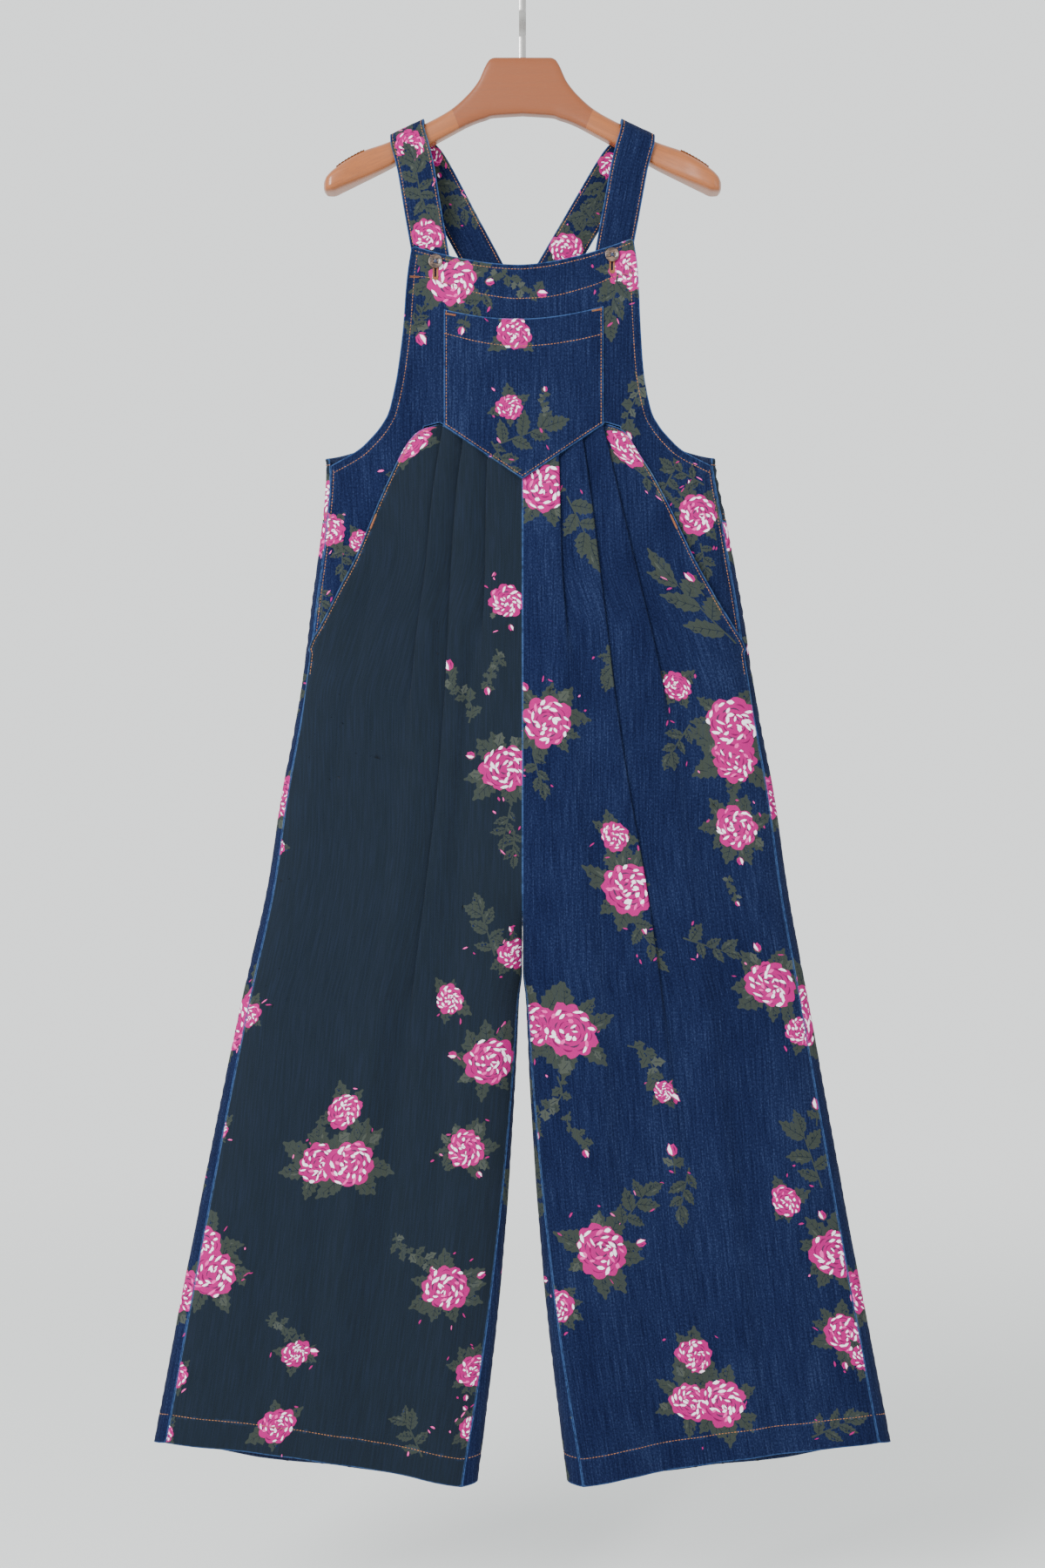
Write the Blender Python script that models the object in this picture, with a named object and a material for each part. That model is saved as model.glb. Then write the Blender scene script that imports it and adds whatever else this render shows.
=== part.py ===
"""Wide-leg bib dungarees in denim, hung by two straps from a wooden coat hanger.

Metres, +Z up. The front faces -Y and +X is to the viewer's right. The origin is the inner top
of the hanger's hook, where a rod carries it. The tables below are in millimetres, and every
piece of cloth is a wall worked out from them: a front and a back surface that meet in a fold at
each side, with the pleats of the front legs laid into the front surface as knife folds.
"""

import math

import bpy
import bmesh
import numpy as np
from mathutils import Vector
from mathutils.geometry import delaunay_2d_cdt

MM = 0.001

# ---------------------------------------------------------------- cloth thickness and seams
DENIM = 1.2 * MM            # one layer of denim
STRAP = 2.4 * MM            # a strap, folded from two layers
SEAM = 0.4 * MM             # between two edges that are sewn together
LAYER = 0.4 * MM            # air between two layers that lie on each other

# ---------------------------------------------------------------- the garment's outline
SIDE_ROLL = 45 * MM         # over this width the cloth rounds into the side fold
INNER_ROLL = 32 * MM        # and into the fold at the inner leg
CROTCH_Z = -1046 * MM
RISE_ROLL = 95 * MM         # the rise curves under the body over this height
CENTRE_CLEAR = 0.9 * MM     # the inner fold starts this far from the middle

# z, half width to the side fold, how far in front of the fold the side seam lies
SIDE = [
    (-380, 204, 5), (-512, 205.5, 5), (-585, 214.5, 6), (-659, 226.5, 7), (-745, 238, 7),
    (-868, 260.5, 8), (-958, 274, 9), (-1081, 299, 10), (-1198, 322, 11), (-1311, 343.5, 12),
    (-1432, 367, 13), (-1547, 389, 14), (-1620, 403, 14),
]
# z, how far the sides lean to the right
LEAN = [
    (-530, 0), (-600, 3), (-700, 5), (-780, 5.8), (-930, 5.5), (-1080, 2.6), (-1200, 0.9),
    (-1400, -0.4), (-1600, 0),
]
# z, how far the bib's edges are drawn to the left at the armholes
SWAY = [(-300, 0), (-370, 0.8), (-430, 2.2), (-500, 2.6), (-530, 0.5), (-560, 0)]
SWAY_FROM, SWAY_FULL = 95 * MM, 122 * MM    # distances from the middle where this sets in
# z, inner fold of the leg, how far in front of it the inseam lies
INSIDE = [
    (-1046, 0, 0), (-1081, 4, 1.5), (-1148, 7, 3), (-1232, 12, 5), (-1298, 16.5, 7),
    (-1365, 22, 9), (-1432, 28.5, 11), (-1495, 36, 13), (-1593, 48.5, 16), (-1620, 52, 16),
]
# z, how far the front stands before the side fold, how far the back stands behind it
DEPTH = [
    (-260, 13, 9), (-415, 14, 10), (-512, 16, 12), (-700, 20, 16), (-1046, 22, 18),
    (-1350, 20, 17), (-1620, 18, 19),
]
# soft hanging folds of the front: top x, top z, bottom x, bottom z, half width, height
FRONT_FOLDS = [
    (-150, -800, -200, -1560, 20, 3.5), (-188, -900, -262, -1560, 24, 3.0),
    (-60, -980, -88, -1590, 16, 2.5), (-235, -1020, -330, -1550, 26, 3.0),
    (178, -860, 232, -1560, 22, 3.5), (226, -960, 300, -1550, 26, 3.0),
    (62, -1000, 92, -1590, 18, 3.0), (120, -1040, 160, -1580, 20, -2.5),
    (-118, -1000, -142, -1580, 18, -2.5), (48, -330, 70, -470, 30, 1.2),
]
# soft hanging folds of the back, in the same columns
BACK_FOLDS = [
    (-70, -640, -120, -1560, 22, 4.0), (-140, -700, -215, -1560, 26, 4.5),
    (-200, -820, -305, -1550, 28, 3.5), (60, -650, 105, -1570, 22, 4.0),
    (135, -690, 205, -1560, 26, 4.5), (205, -840, 310, -1550, 28, 3.5),
]

# ---------------------------------------------------------------- bib
BIB_TOP_Z = -305.5 * MM     # lowest point of the curved top edge
BIB_TOP_HALF = 117 * MM
BIB_TOP_RISE = 24.5 * MM    # the corners stand this much higher
BIB_TOP_POWER = 1.7
BIB_TILT = 4 * MM           # the right corner hangs higher and the left one lower by this
BIB_TILT_END = -440 * MM
V_TIP_Z = -530 * MM         # the V seam, from its tip ...
V_CORNER = (86.9 * MM, -471.6 * MM)     # ... to its corners
BIB_CELL = 16 * MM
# x, z of the armhole edge from the bib's corner to the underarm
ARMHOLE = [
    (117, -284), (120.5, -308), (122.5, -331), (125, -373), (129, -415), (133, -439),
    (138.3, -461), (144, -472), (149.5, -480), (156.6, -488), (166, -497.5), (175.5, -504),
    (188, -510.5), (200, -516),
]
# x, z of the facing's hidden lower edge behind the hip pocket
FACING = [
    (106, -489), (118, -520), (136, -565), (150, -612), (168, -662), (190, -706), (212, -722),
]
FACING_END_Z = -727 * MM
FACING_START = 103 * MM     # up to here the bib ends at the seam, beyond it the facing begins
HIP_SEAM_SLOPE = 0.28       # of the hip seam's first stretch

# ---------------------------------------------------------------- patch pocket
POCKET_LEFT = -82.5 * MM
POCKET_RIGHT = 85 * MM
POCKET_TOP_LEFT_Z = -353 * MM
POCKET_TOP_RIGHT_Z = -349.5 * MM
POCKET_SAG = 11.5 * MM
POCKET_LAP = 1.0 * MM       # it covers the V seam by this
POCKET_RAISE = DENIM + LAYER + 0.1 * MM     # it lies on the bib at this distance
POCKET_CELL = 22 * MM

# ---------------------------------------------------------------- front legs
# z at the inner edge, x and z at the outer edge (the curved hip seam, then the side seam),
# rows of cloth down to the next line of the table
LEG_ROWS = [
    (-530.5, 86.9, -472.1, 2), (-555, 107.9, -481.5, 2), (-587, 129, -512, 1),
    (-632, 151.8, -556.5, 2), (-687, 180.2, -622, 2), (-750, 212.2, -682, 1),
    (-787, 228.5, -712, 2), (-878, 244, -816, 3), (-1046, 280.5, -1035, 2),
    (-1148, 301.5, -1155, 2), (-1298, 325, -1288, 2), (-1432, 349, -1417, 3),
    (-1588.5, 371, -1543, 0),
]
SIDE_SEAM_ROW = 6           # from this line down the outer edge is the side seam
HEM_BOW = 6 * MM
LAP_START, LAP_FULL = 87 * MM, 99 * MM     # x where the leg climbs on to the bib's side
LAP = 2.4 * MM                              # by this much
LAP_END, LAP_GONE = -738 * MM, -800 * MM    # z where it comes down again
HIP_OPENING = 5.5 * MM                      # the slant pocket's edge stands off by this
HIP_OPENING_TOP, HIP_OPENING_END = -565 * MM, -716 * MM
HIP_OPENING_REACH = 48 * MM

# knife pleats: x of each fold's edge at z, from the middle outwards
LEFT_PLEATS = [
    # z, inner, middle, outer
    (-460, 35, 58, 81), (-555, 38, 70, 95), (-625, 39, 75, 102), (-700, 42, 78.5, 112.5),
    (-745, 44, 81, 117), (-840, 51, 88, 126), (-970, 58, 103, 142), (-1080, 64, 116, 158),
    (-1195, 72, 123, 175), (-1350, 84, 138, 200), (-1600, 110, 168, 245),
]
RIGHT_PLEATS = [
    (-460, 37, 59, 81.5), (-555, 39, 72, 102), (-625, 41, 80, 117.5), (-700, 47.5, 89, 135),
    (-745, 52.5, 94, 144), (-840, 60, 107.6, 159), (-970, 73, 130, 180),
    (-1080, 84, 146, 197), (-1195, 94, 160, 212), (-1350, 108, 178, 232),
    (-1600, 130, 205, 268),
]
# depth under the fold, z down to which it stays shut, z where it has opened, height when open
PLEATS = [
    (10.5, -600, -760, 3.5),    # inner
    (11.5, -880, -1240, 5.0),   # middle
    (10.5, -660, -840, 4.0),    # outer
]
PLEAT_LAYER = 2.1 * MM      # from one layer of a pleat to the next
PLEAT_OPEN_WIDTH = 22 * MM  # width of the soft step that an open pleat becomes
PLEAT_TUCK = 34 * MM        # the layers come out from under the V seam over this height
OUTER_STATIONS = [0.14, 0.3, 0.46, 0.62, 0.77, 0.9, 1.0]    # of the way to the outer edge

# ---------------------------------------------------------------- back
# x, z of the back's top edge and armhole
BACK_TOP = [
    (0, -412), (50, -412), (75, -420), (97, -427), (115, -435), (131, -449), (139.5, -466),
    (150.5, -482.5), (160, -490.5), (170, -496.5), (181, -500.5), (193, -504), (208, -507.5),
]
WAIST_Z = -575 * MM
UNDERARM_Z = -508 * MM
BACK_HEM_DROP = 9 * MM      # the back hangs lower than the front by this in its middle
EDGE_STATIONS = [0, 2.5, 5, 9, 15, 27]      # from a seam round its fold
BODICE_MIDDLE, BODICE_ROWS = 14, 6
BACK_LEG_MIDDLE = 8
BACK_TOP_ROWS = 3           # rows from the waist to where front and back share their rows

# ---------------------------------------------------------------- straps
STRAP_WIDTH = 39 * MM
# distance from the middle, y, z, lean of the strap's width in degrees
STRAP_FRONT = [
    (90.5, -11.0, -336, 9), (94.2, -10.9, -311, 9), (98, -10.8, -287, 9),
    (105, -11.2, -247, 9.5), (112, -12.6, -205, 12), (117, -13.7, -184, 17),
    (120, -13.8, -174, 22),
]
ARM_LOOP = (121.5, -171.8, 13.8, 25.5)    # middle of the loop over the arm: x, z, radius, lean
# down the back: distance from the middle of the left and the right strap, y of the left and
# the right strap, z, lean; they cross where the distance changes sign
STRAP_BACK = [
    (117, 117, 13.8, 13.8, -174, 27), (104, 104.5, 13.6, 13.6, -187, 28.5),
    (91, 91, 12.9, 12.9, -208, 28.5), (66.5, 64, 12.5, 12.5, -254.6, 28.5),
    (48, 44, 13, 12.6, -288.8, 29), (25.5, 19.5, 15.3, 12.5, -331, 29.5),
    (4, -2.5, 15.4, 12.4, -370, 29.5), (-12.5, -19, 15.3, 12.4, -400, 29.5),
    (-20.5, -27, 14.2, 12.5, -414, 29.5), (-33, -39, 13.2, 12.8, -437, 29.5),
]
STRAP_ROWS = 38
RIGHT_STRAP_RAISED = 7 * MM     # the right strap is buttoned this much shorter

# ---------------------------------------------------------------- buttons and buttonholes
BUTTONS = {-1: (-91.4, -302.3), 1: (94.1, -295.4)}      # x, z by side
BUTTON_RADIUS = 7.5 * MM
BUTTON_THICK = 2.6 * MM
SHANK_RADIUS = 1.2 * MM
EYE_RADIUS = 2.1 * MM
SLOT_HALF = 1.0 * MM
SLOT_DROP = 16.5 * MM

# ---------------------------------------------------------------- hanger
# distance from the middle, top z, bottom z, half depth, squareness of the section
HANGER = [
    (0, -85.5, -144.6, 10, 6), (29, -85.5, -146.5, 10, 6), (34, -87, -147.2, 10, 6),
    (38.5, -93, -149.2, 10, 5.5), (46, -109.5, -151.5, 10, 5), (58, -124.5, -156.5, 10, 4),
    (76, -139.8, -166, 10.2, 2.8), (102, -154, -180, 10.4, 2.3), (122, -163.5, -190.5, 10.6, 2.3),
    (141, -173.5, -201, 11.4, 2.3), (169, -184, -214.5, 14.5, 2.6), (190, -196.5, -224, 18, 2.6),
    (200, -204.5, -228, 18.6, 2.6), (206, -210.5, -228, 16, 2.5), (209, -215.5, -225.5, 9, 2.2),
]
HANGER_STEPS = [0, 15, 29, 34, 38.5, 42, 46, 52, 58, 67, 76, 89, 102, 122, 141, 155, 169, 180,
                190, 200, 206, 209]
SECTION_POINTS = 16
UNDERSIDE_SQUARE = 4.5      # the underside is flatter than the top
GRIP_FROM, GRIP_TO = 167 * MM, 196 * MM
GRIP_ARC = (58, 122)        # degrees round the section
GRIP_THICK = 1.0 * MM

HOOK_WIDTH = 7.4 * MM
HOOK_THICK = 3.0 * MM
HOOK_INNER_RADIUS = 18 * MM
HOOK_CRANK_LOW, HOOK_CRANK_HIGH = -63 * MM, -39 * MM
HOOK_SOCKET = 13 * MM       # length of the stem inside the wood
HOOK_OPEN = 205             # degrees of the bow, from the shank over the top


# ================================================================ tables as smooth curves
def smooth_curve(keys, values):
    """Return a function of the key that runs smoothly, without overshoot, through a table."""
    order = np.argsort(keys)
    keys = np.asarray(keys, float)[order]
    values = np.asarray(values, float)[order]
    step = np.diff(keys)
    slope = np.diff(values) / step
    product = slope[:-1] * slope[1:]
    total = slope[:-1] + slope[1:]
    tangent = np.concatenate([slope[:1], np.zeros(len(slope) - 1), slope[-1:]])
    turning = product > 0
    tangent[1:-1][turning] = 2 * product[turning] / total[turning]

    def curve(at):
        at = np.clip(np.asarray(at, float), keys[0], keys[-1])
        cell = np.clip(np.searchsorted(keys, at, side="right") - 1, 0, len(step) - 1)
        width = step[cell]
        t = (at - keys[cell]) / width
        start, end = values[cell], values[cell + 1]
        return ((2 * t**3 - 3 * t**2 + 1) * start + (t**3 - 2 * t**2 + t) * width * tangent[cell]
                + (3 * t**2 - 2 * t**3) * end + (t**3 - t**2) * width * tangent[cell + 1])

    return curve


def table_curves(table):
    """Return one smooth curve in metres for each column after a table's first."""
    columns = list(zip(*table))
    return [smooth_curve(np.array(columns[0]) * MM, np.array(column) * MM)
            for column in columns[1:]]


def ease(value, start, end):
    """Return 0 at start and 1 at end, with a soft beginning and finish."""
    t = np.clip((np.asarray(value, float) - start) / (end - start), 0, 1)
    return t * t * (3 - 2 * t)


def through(points, count):
    """Return evenly spaced points on a smooth line through the given ones."""
    points = np.asarray(points, float)
    padded = np.vstack([2 * points[0] - points[1], points, 2 * points[-1] - points[-2]])
    fine = []
    for a, b, c, d in zip(padded, padded[1:], padded[2:], padded[3:]):
        for t in np.linspace(0, 1, 16, endpoint=False):
            fine.append(0.5 * (2 * b + (c - a) * t + (2 * a - 5 * b + 4 * c - d) * t * t
                               + (3 * b - a - 3 * c + d) * t**3))
    fine.append(points[-1])
    fine = np.array(fine)
    length = np.concatenate([[0], np.cumsum(np.linalg.norm(np.diff(fine[:, :3], axis=0), axis=1))])
    at = np.linspace(0, length[-1], count)
    return np.stack([np.interp(at, length, column) for column in fine.T], axis=1)


half_width, seam_inset = table_curves(SIDE)
lean, = table_curves(LEAN)
sway, = table_curves(SWAY)
inner_fold, inseam_inset = table_curves(INSIDE)
front_depth, back_depth = table_curves(DEPTH)
back_top = table_curves(BACK_TOP)[0]


# ================================================================ the front and back surfaces
def rounded(share):
    """Return a quarter circle's height over its width, from 0 at the fold to 1."""
    share = np.clip(share, 0.0, 1.0)
    return np.sqrt(np.clip(1 - (1 - share) ** 2, 0, 1))


def closing(z):
    """Return how far the legs have parted: 0 over the rise, 1 at the crotch and below."""
    return ease(-z, -CROTCH_Z - RISE_ROLL, -CROTCH_Z)


def leg_fold(z):
    """Return the distance of the leg's inner fold from the middle."""
    return np.maximum(inner_fold(z), CENTRE_CLEAR)


def side_seam(z):
    """Return the distance of the side seam from the middle."""
    return half_width(z) - seam_inset(z)


def fullness(x, z):
    """Return how far the cloth has rounded away from its folds, 0 to 1."""
    reach = np.abs(x)
    outer = rounded((half_width(z) - reach) / SIDE_ROLL)
    inner = rounded((reach - leg_fold(z)) / INNER_ROLL)
    return outer * (1 - closing(z) * (1 - inner))


def hanging_folds(x, z, table):
    """Return the height of the soft hanging folds at a place."""
    height = 0.0
    for top_x, top_z, bottom_x, bottom_z, width, crest in table:
        along = (z / MM - top_z) / (bottom_z - top_z)
        middle = top_x + (bottom_x - top_x) * along
        across = np.exp(-((x / MM - middle) / width) ** 2)
        height = height + crest * MM * across * ease(along, 0.0, 0.35) * ease(along, 1.6, 1.0)
    return height


def front_y(x, z):
    """Return the y of the front surface."""
    return -(front_depth(z) + hanging_folds(x, z, FRONT_FOLDS)) * fullness(x, z)


def back_y(x, z):
    """Return the y of the back surface."""
    return (back_depth(z) + hanging_folds(x, z, BACK_FOLDS)) * fullness(x, z)


def leaned(points):
    """Return points of the garment with its sides leaning over."""
    x, z = points[..., 0], points[..., 2]
    shift = lean(z) * (x / half_width(z)) ** 2 - sway(z) * ease(np.abs(x), SWAY_FROM, SWAY_FULL)
    return points + np.stack([shift, np.zeros_like(shift), np.zeros_like(shift)], axis=-1)


def on_front(x, z, out=0.0):
    """Return points of the front surface, moved out along its normal."""
    step = 0.5 * MM
    slope_x = (front_y(x + step, z) - front_y(x - step, z)) / (2 * step)
    slope_z = (front_y(x, z + step) - front_y(x, z - step)) / (2 * step)
    normal = np.stack([slope_x, -np.ones_like(slope_x), slope_z], axis=-1)
    normal = normal / np.linalg.norm(normal, axis=-1, keepdims=True)
    points = np.stack([x, front_y(x, z), z], axis=-1)
    return leaned(points + normal * np.asarray(out)[..., None])


# ================================================================ meshes
def denim(name, colour):
    """Return a plain denim material in one shade."""
    return finish(name, colour, 0.85, 0.0)


def finish(name, colour, roughness, metallic):
    """Return a Principled material."""
    material = bpy.data.materials.get(name) or bpy.data.materials.new(name)
    material.use_nodes = True
    shader = material.node_tree.nodes["Principled BSDF"]
    shader.inputs["Base Color"].default_value = (*colour, 1)
    shader.inputs["Roughness"].default_value = roughness
    shader.inputs["Metallic"].default_value = metallic
    return material


def add_piece(name, points, faces, material):
    """Make one closed piece, shaded smooth between its edges."""
    mesh = bpy.data.meshes.new(name)
    mesh.from_pydata([tuple(p) for p in points], [], faces)
    work = bmesh.new()
    work.from_mesh(mesh)
    bmesh.ops.recalc_face_normals(work, faces=work.faces)
    work.to_mesh(mesh)
    work.free()
    mesh.materials.append(material)
    mesh.shade_smooth()
    mesh.set_sharp_from_angle(angle=math.radians(40))
    piece = bpy.data.objects.new(name, mesh)
    bpy.context.scene.collection.objects.link(piece)
    return piece


def unit(vectors):
    """Return vectors of length one."""
    return vectors / np.linalg.norm(vectors, axis=-1, keepdims=True)


def grid_normals(grid):
    """Return a grid's normals, longer at a sharp turn of a row so that the wall keeps its
    thickness there."""
    along = unit(np.diff(grid, axis=1))
    before = np.concatenate([along[:, :1], along], axis=1)
    after = np.concatenate([along, along[:, -1:]], axis=1)
    across_row = unit(before + after)
    down = unit(np.diff(grid, axis=0))
    above = np.concatenate([down[:1], down], axis=0)
    below = np.concatenate([down, down[-1:]], axis=0)
    normal = unit(np.cross(across_row, unit(above + below)))
    turn = np.clip(np.sum(across_row * after, axis=-1, keepdims=True), 0.7, 1)
    return normal / turn


def wall_from_grid(name, grid, thickness, material):
    """Make a cloth wall on both sides of a grid of points (rows by columns)."""
    rows, columns = grid.shape[:2]
    offset = grid_normals(grid) * thickness / 2
    points = np.concatenate([(grid + offset).reshape(-1, 3), (grid - offset).reshape(-1, 3)])
    other = rows * columns
    faces = []
    for r in range(rows - 1):
        for c in range(columns - 1):
            a, b = r * columns + c, r * columns + c + 1
            d, e = a + columns, b + columns
            faces.append((a, b, e, d))
            faces.append((other + a, other + d, other + e, other + b))
    rim = ([(0, c) for c in range(columns - 1)]
           + [(r, columns - 1) for r in range(rows - 1)]
           + [(rows - 1, c) for c in range(columns - 1, 0, -1)]
           + [(r, 0) for r in range(rows - 1, 0, -1)])
    rim = [r * columns + c for r, c in rim]
    for a, b in zip(rim, rim[1:] + rim[:1]):
        faces.append((b, a, other + a, other + b))
    return add_piece(name, points, faces, material)


def inside(points, outline):
    """Return which points lie within an outline."""
    x, z = points[:, 0][:, None], points[:, 1][:, None]
    start, end = outline, np.roll(outline, -1, axis=0)
    crosses = (start[:, 1] > z) != (end[:, 1] > z)
    rise = np.where(end[:, 1] == start[:, 1], 1.0, end[:, 1] - start[:, 1])
    at = start[:, 0] + (z - start[:, 1]) * (end[:, 0] - start[:, 0]) / rise
    return np.sum(crosses & (x < at), axis=1) % 2 == 1


def distance_to(points, outline):
    """Return how far points lie from an outline's edges."""
    start = outline[None]
    edge = (np.roll(outline, -1, axis=0) - outline)[None]
    away = points[:, None] - start
    share = np.clip(np.sum(away * edge, axis=2) / np.sum(edge * edge, axis=2), 0, 1)
    return np.min(np.linalg.norm(away - share[..., None] * edge, axis=2), axis=1)


def wall_from_outline(name, outline, holes, cell, place, thickness, material):
    """Make a cloth wall inside a flat outline; place(x, z, out) puts its points in space."""
    outlines = [outline] + holes
    low, high = outline.min(axis=0), outline.max(axis=0)
    row_height = cell * math.sqrt(3) / 2
    lattice = []
    for row in range(int((high[1] - low[1]) / row_height) + 1):
        shift = cell / 2 if row % 2 else 0
        for x in np.arange(low[0] + shift, high[0], cell):
            lattice.append((x, low[1] + row * row_height))
    lattice = np.array(lattice)
    keep = inside(lattice, outline)
    for hole in holes:
        keep &= ~inside(lattice, hole)
    for edge in outlines:
        keep &= distance_to(lattice, edge) > cell * 0.5
    flat = np.vstack(outlines + [lattice[keep]])
    edges, first = [], 0
    for edge in outlines:
        count = len(edge)
        edges += [(first + i, first + (i + 1) % count) for i in range(count)]
        first += count
    vertices, _, triangles, *_ = delaunay_2d_cdt([Vector(p) for p in flat], edges, [], 0, 1e-7)
    flat = np.array([tuple(v) for v in vertices])
    middles = flat[np.array(triangles)].mean(axis=1)
    keep = inside(middles, outline)
    for hole in holes:
        keep &= ~inside(middles, hole)
    triangles = [t for t, kept in zip(triangles, keep) if kept]
    used = sorted({i for t in triangles for i in t})
    number = {old: new for new, old in enumerate(used)}
    triangles = [tuple(number[i] for i in t) for t in triangles]
    x, z = flat[used].T
    points = np.concatenate([place(x, z, thickness / 2), place(x, z, -thickness / 2)])
    other = len(used)
    count = {}
    for t in triangles:
        for a, b in zip(t, t[1:] + t[:1]):
            count[(a, b)] = count.get((a, b), 0) + 1
    faces = list(triangles) + [tuple(other + i for i in reversed(t)) for t in triangles]
    faces += [(b, a, other + a, other + b) for a, b in count if (b, a) not in count]
    return add_piece(name, points, faces, material)


# ================================================================ bib and pocket
def bib_tilt(x, z):
    """Return how much the bib's tilt moves a point up."""
    return BIB_TILT * x / BIB_TOP_HALF * ease(z, BIB_TILT_END, -300 * MM)


def v_seam(x):
    """Return the z of the V seam."""
    return V_TIP_Z + (V_CORNER[1] - V_TIP_Z) * np.abs(x) / V_CORNER[0]


def bib_outline():
    """Return the bib's flat outline, from the top edge's left corner round to the right."""
    armhole = through(np.array(ARMHOLE) * MM, 19)
    side_z = np.linspace(armhole[-1][1], FACING_END_Z, 14)[1:]
    side = np.stack([side_seam(side_z), side_z], axis=1)
    facing = through(np.array(FACING) * MM, 15)[::-1]
    v_x = np.concatenate([[FACING_START], np.linspace(V_CORNER[0], 8 * MM, 6)])
    seam_z = np.where(v_x > V_CORNER[0],
                      V_CORNER[1] - (v_x - V_CORNER[0]) * HIP_SEAM_SLOPE, v_seam(v_x))
    seam = np.stack([v_x, seam_z], axis=1)
    right = np.vstack([armhole, side, facing, seam])
    tip = np.array([[0, V_TIP_Z]])
    left = right[::-1] * (-1, 1)
    top_x = np.linspace(-BIB_TOP_HALF, BIB_TOP_HALF, 17)[1:-1]
    top_z = BIB_TOP_Z + BIB_TOP_RISE * np.abs(top_x / BIB_TOP_HALF) ** BIB_TOP_POWER
    top = np.stack([top_x, top_z], axis=1)
    outline = np.vstack([top, right, tip, left])
    outline[:, 1] += bib_tilt(outline[:, 0], outline[:, 1])
    return outline[::-1]


def buttonhole(side):
    """Return a keyhole buttonhole: a round eye at the button and a slot below it."""
    x, z = np.array(BUTTONS[side]) * MM
    meet = math.asin(SLOT_HALF / EYE_RADIUS)
    start, end = -math.pi / 2 + meet, 1.5 * math.pi - meet
    eye = [(x + EYE_RADIUS * math.cos(a), z + EYE_RADIUS * math.sin(a))
           for a in np.linspace(start, end, 9)]
    foot = [(x - SLOT_HALF, z - SLOT_DROP), (x + SLOT_HALF, z - SLOT_DROP)]
    return np.array(eye + foot)


def pocket_outline():
    """Return the patch pocket's outline: a sagging top edge and a V-shaped bottom."""
    x = np.linspace(POCKET_RIGHT, POCKET_LEFT, 10)
    share = (x - POCKET_LEFT) / (POCKET_RIGHT - POCKET_LEFT)
    straight = POCKET_TOP_LEFT_Z + (POCKET_TOP_RIGHT_Z - POCKET_TOP_LEFT_Z) * share
    top = np.stack([x, straight - POCKET_SAG * 4 * share * (1 - share)], axis=1)
    left_z = np.linspace(POCKET_TOP_LEFT_Z, v_seam(POCKET_LEFT) - POCKET_LAP, 7)[1:-1]
    left = np.stack([np.full(5, POCKET_LEFT), left_z], axis=1)
    bottom_x = np.concatenate([np.linspace(POCKET_LEFT, 0, 6), np.linspace(0, POCKET_RIGHT, 6)[1:]])
    bottom = np.stack([bottom_x, v_seam(bottom_x) - POCKET_LAP], axis=1)
    right_z = np.linspace(v_seam(POCKET_RIGHT) - POCKET_LAP, POCKET_TOP_RIGHT_Z, 7)[1:-1]
    right = np.stack([np.full(5, POCKET_RIGHT), right_z], axis=1)
    return np.vstack([top, left, bottom, right])


def make_bib(material):
    """Make the bib with its two buttonholes, and the patch pocket that lies on it."""
    wall_from_outline("bib_front", bib_outline(), [buttonhole(-1), buttonhole(1)], BIB_CELL,
                      on_front, DENIM, material)
    wall_from_outline("bib_pocket", pocket_outline(), [], POCKET_CELL,
                      lambda x, z, out: on_front(x, z, POCKET_RAISE + out), DENIM, material)


# ================================================================ front legs with their pleats
def leg_inner_edge(z):
    """Return the x of the front leg's inner edge: the centre seam, then the inseam."""
    return SEAM / 2 + closing(z) * (leg_fold(z) + inseam_inset(z) + SEAM / 2)


def leg_row_ends():
    """Return the ends of every row of the front leg: inner z, outer x, outer z."""
    keys = np.arange(len(LEG_ROWS))
    curves = [smooth_curve(keys, np.array(column) * MM) for column in list(zip(*LEG_ROWS))[:3]]
    at = [0.0]
    for line, row in enumerate(LEG_ROWS[:-1]):
        at += [line + (i + 1) / row[3] for i in range(row[3])]
    at = np.array(at)
    inner_z, outer_x, outer_z = [curve(at) for curve in curves]
    outer_x = np.where(at >= SIDE_SEAM_ROW, side_seam(outer_z), outer_x)
    return at, (inner_z, outer_x, outer_z)


def pleat_layout(edge, under, shut, height):
    """Return a pleat's six points: distance along the row and height over the cloth.

    edge is the fold's place, under how deep it tucks, shut 1 for a knife fold and 0 for a soft
    step of the given height.
    """
    turn = PLEAT_LAYER / 2
    knife = np.array([[-turn, 0, -turn, -under + turn, -under, -under + turn],
                      PLEAT_LAYER * np.array([2, 1.5, 1, 1, 0.5, 0])])
    upright = np.array([turn * np.array([-1, -0.3, -0.1, 0.1, 0.3, 1]),
                        PLEAT_LAYER * np.array([2, 1.62, 1.2, 0.8, 0.38, 0])])
    soft = np.array([PLEAT_OPEN_WIDTH * np.array([-0.5, -0.3, -0.1, 0.1, 0.3, 0.5]),
                     height * np.array([1, 0.93, 0.68, 0.32, 0.07, 0])])
    folded = upright + (knife - upright) * float(np.clip(2 * shut - 1, 0, 1))
    along, up = soft + (folded - soft) * float(np.clip(2 * shut, 0, 1))
    return edge + along, up


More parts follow.
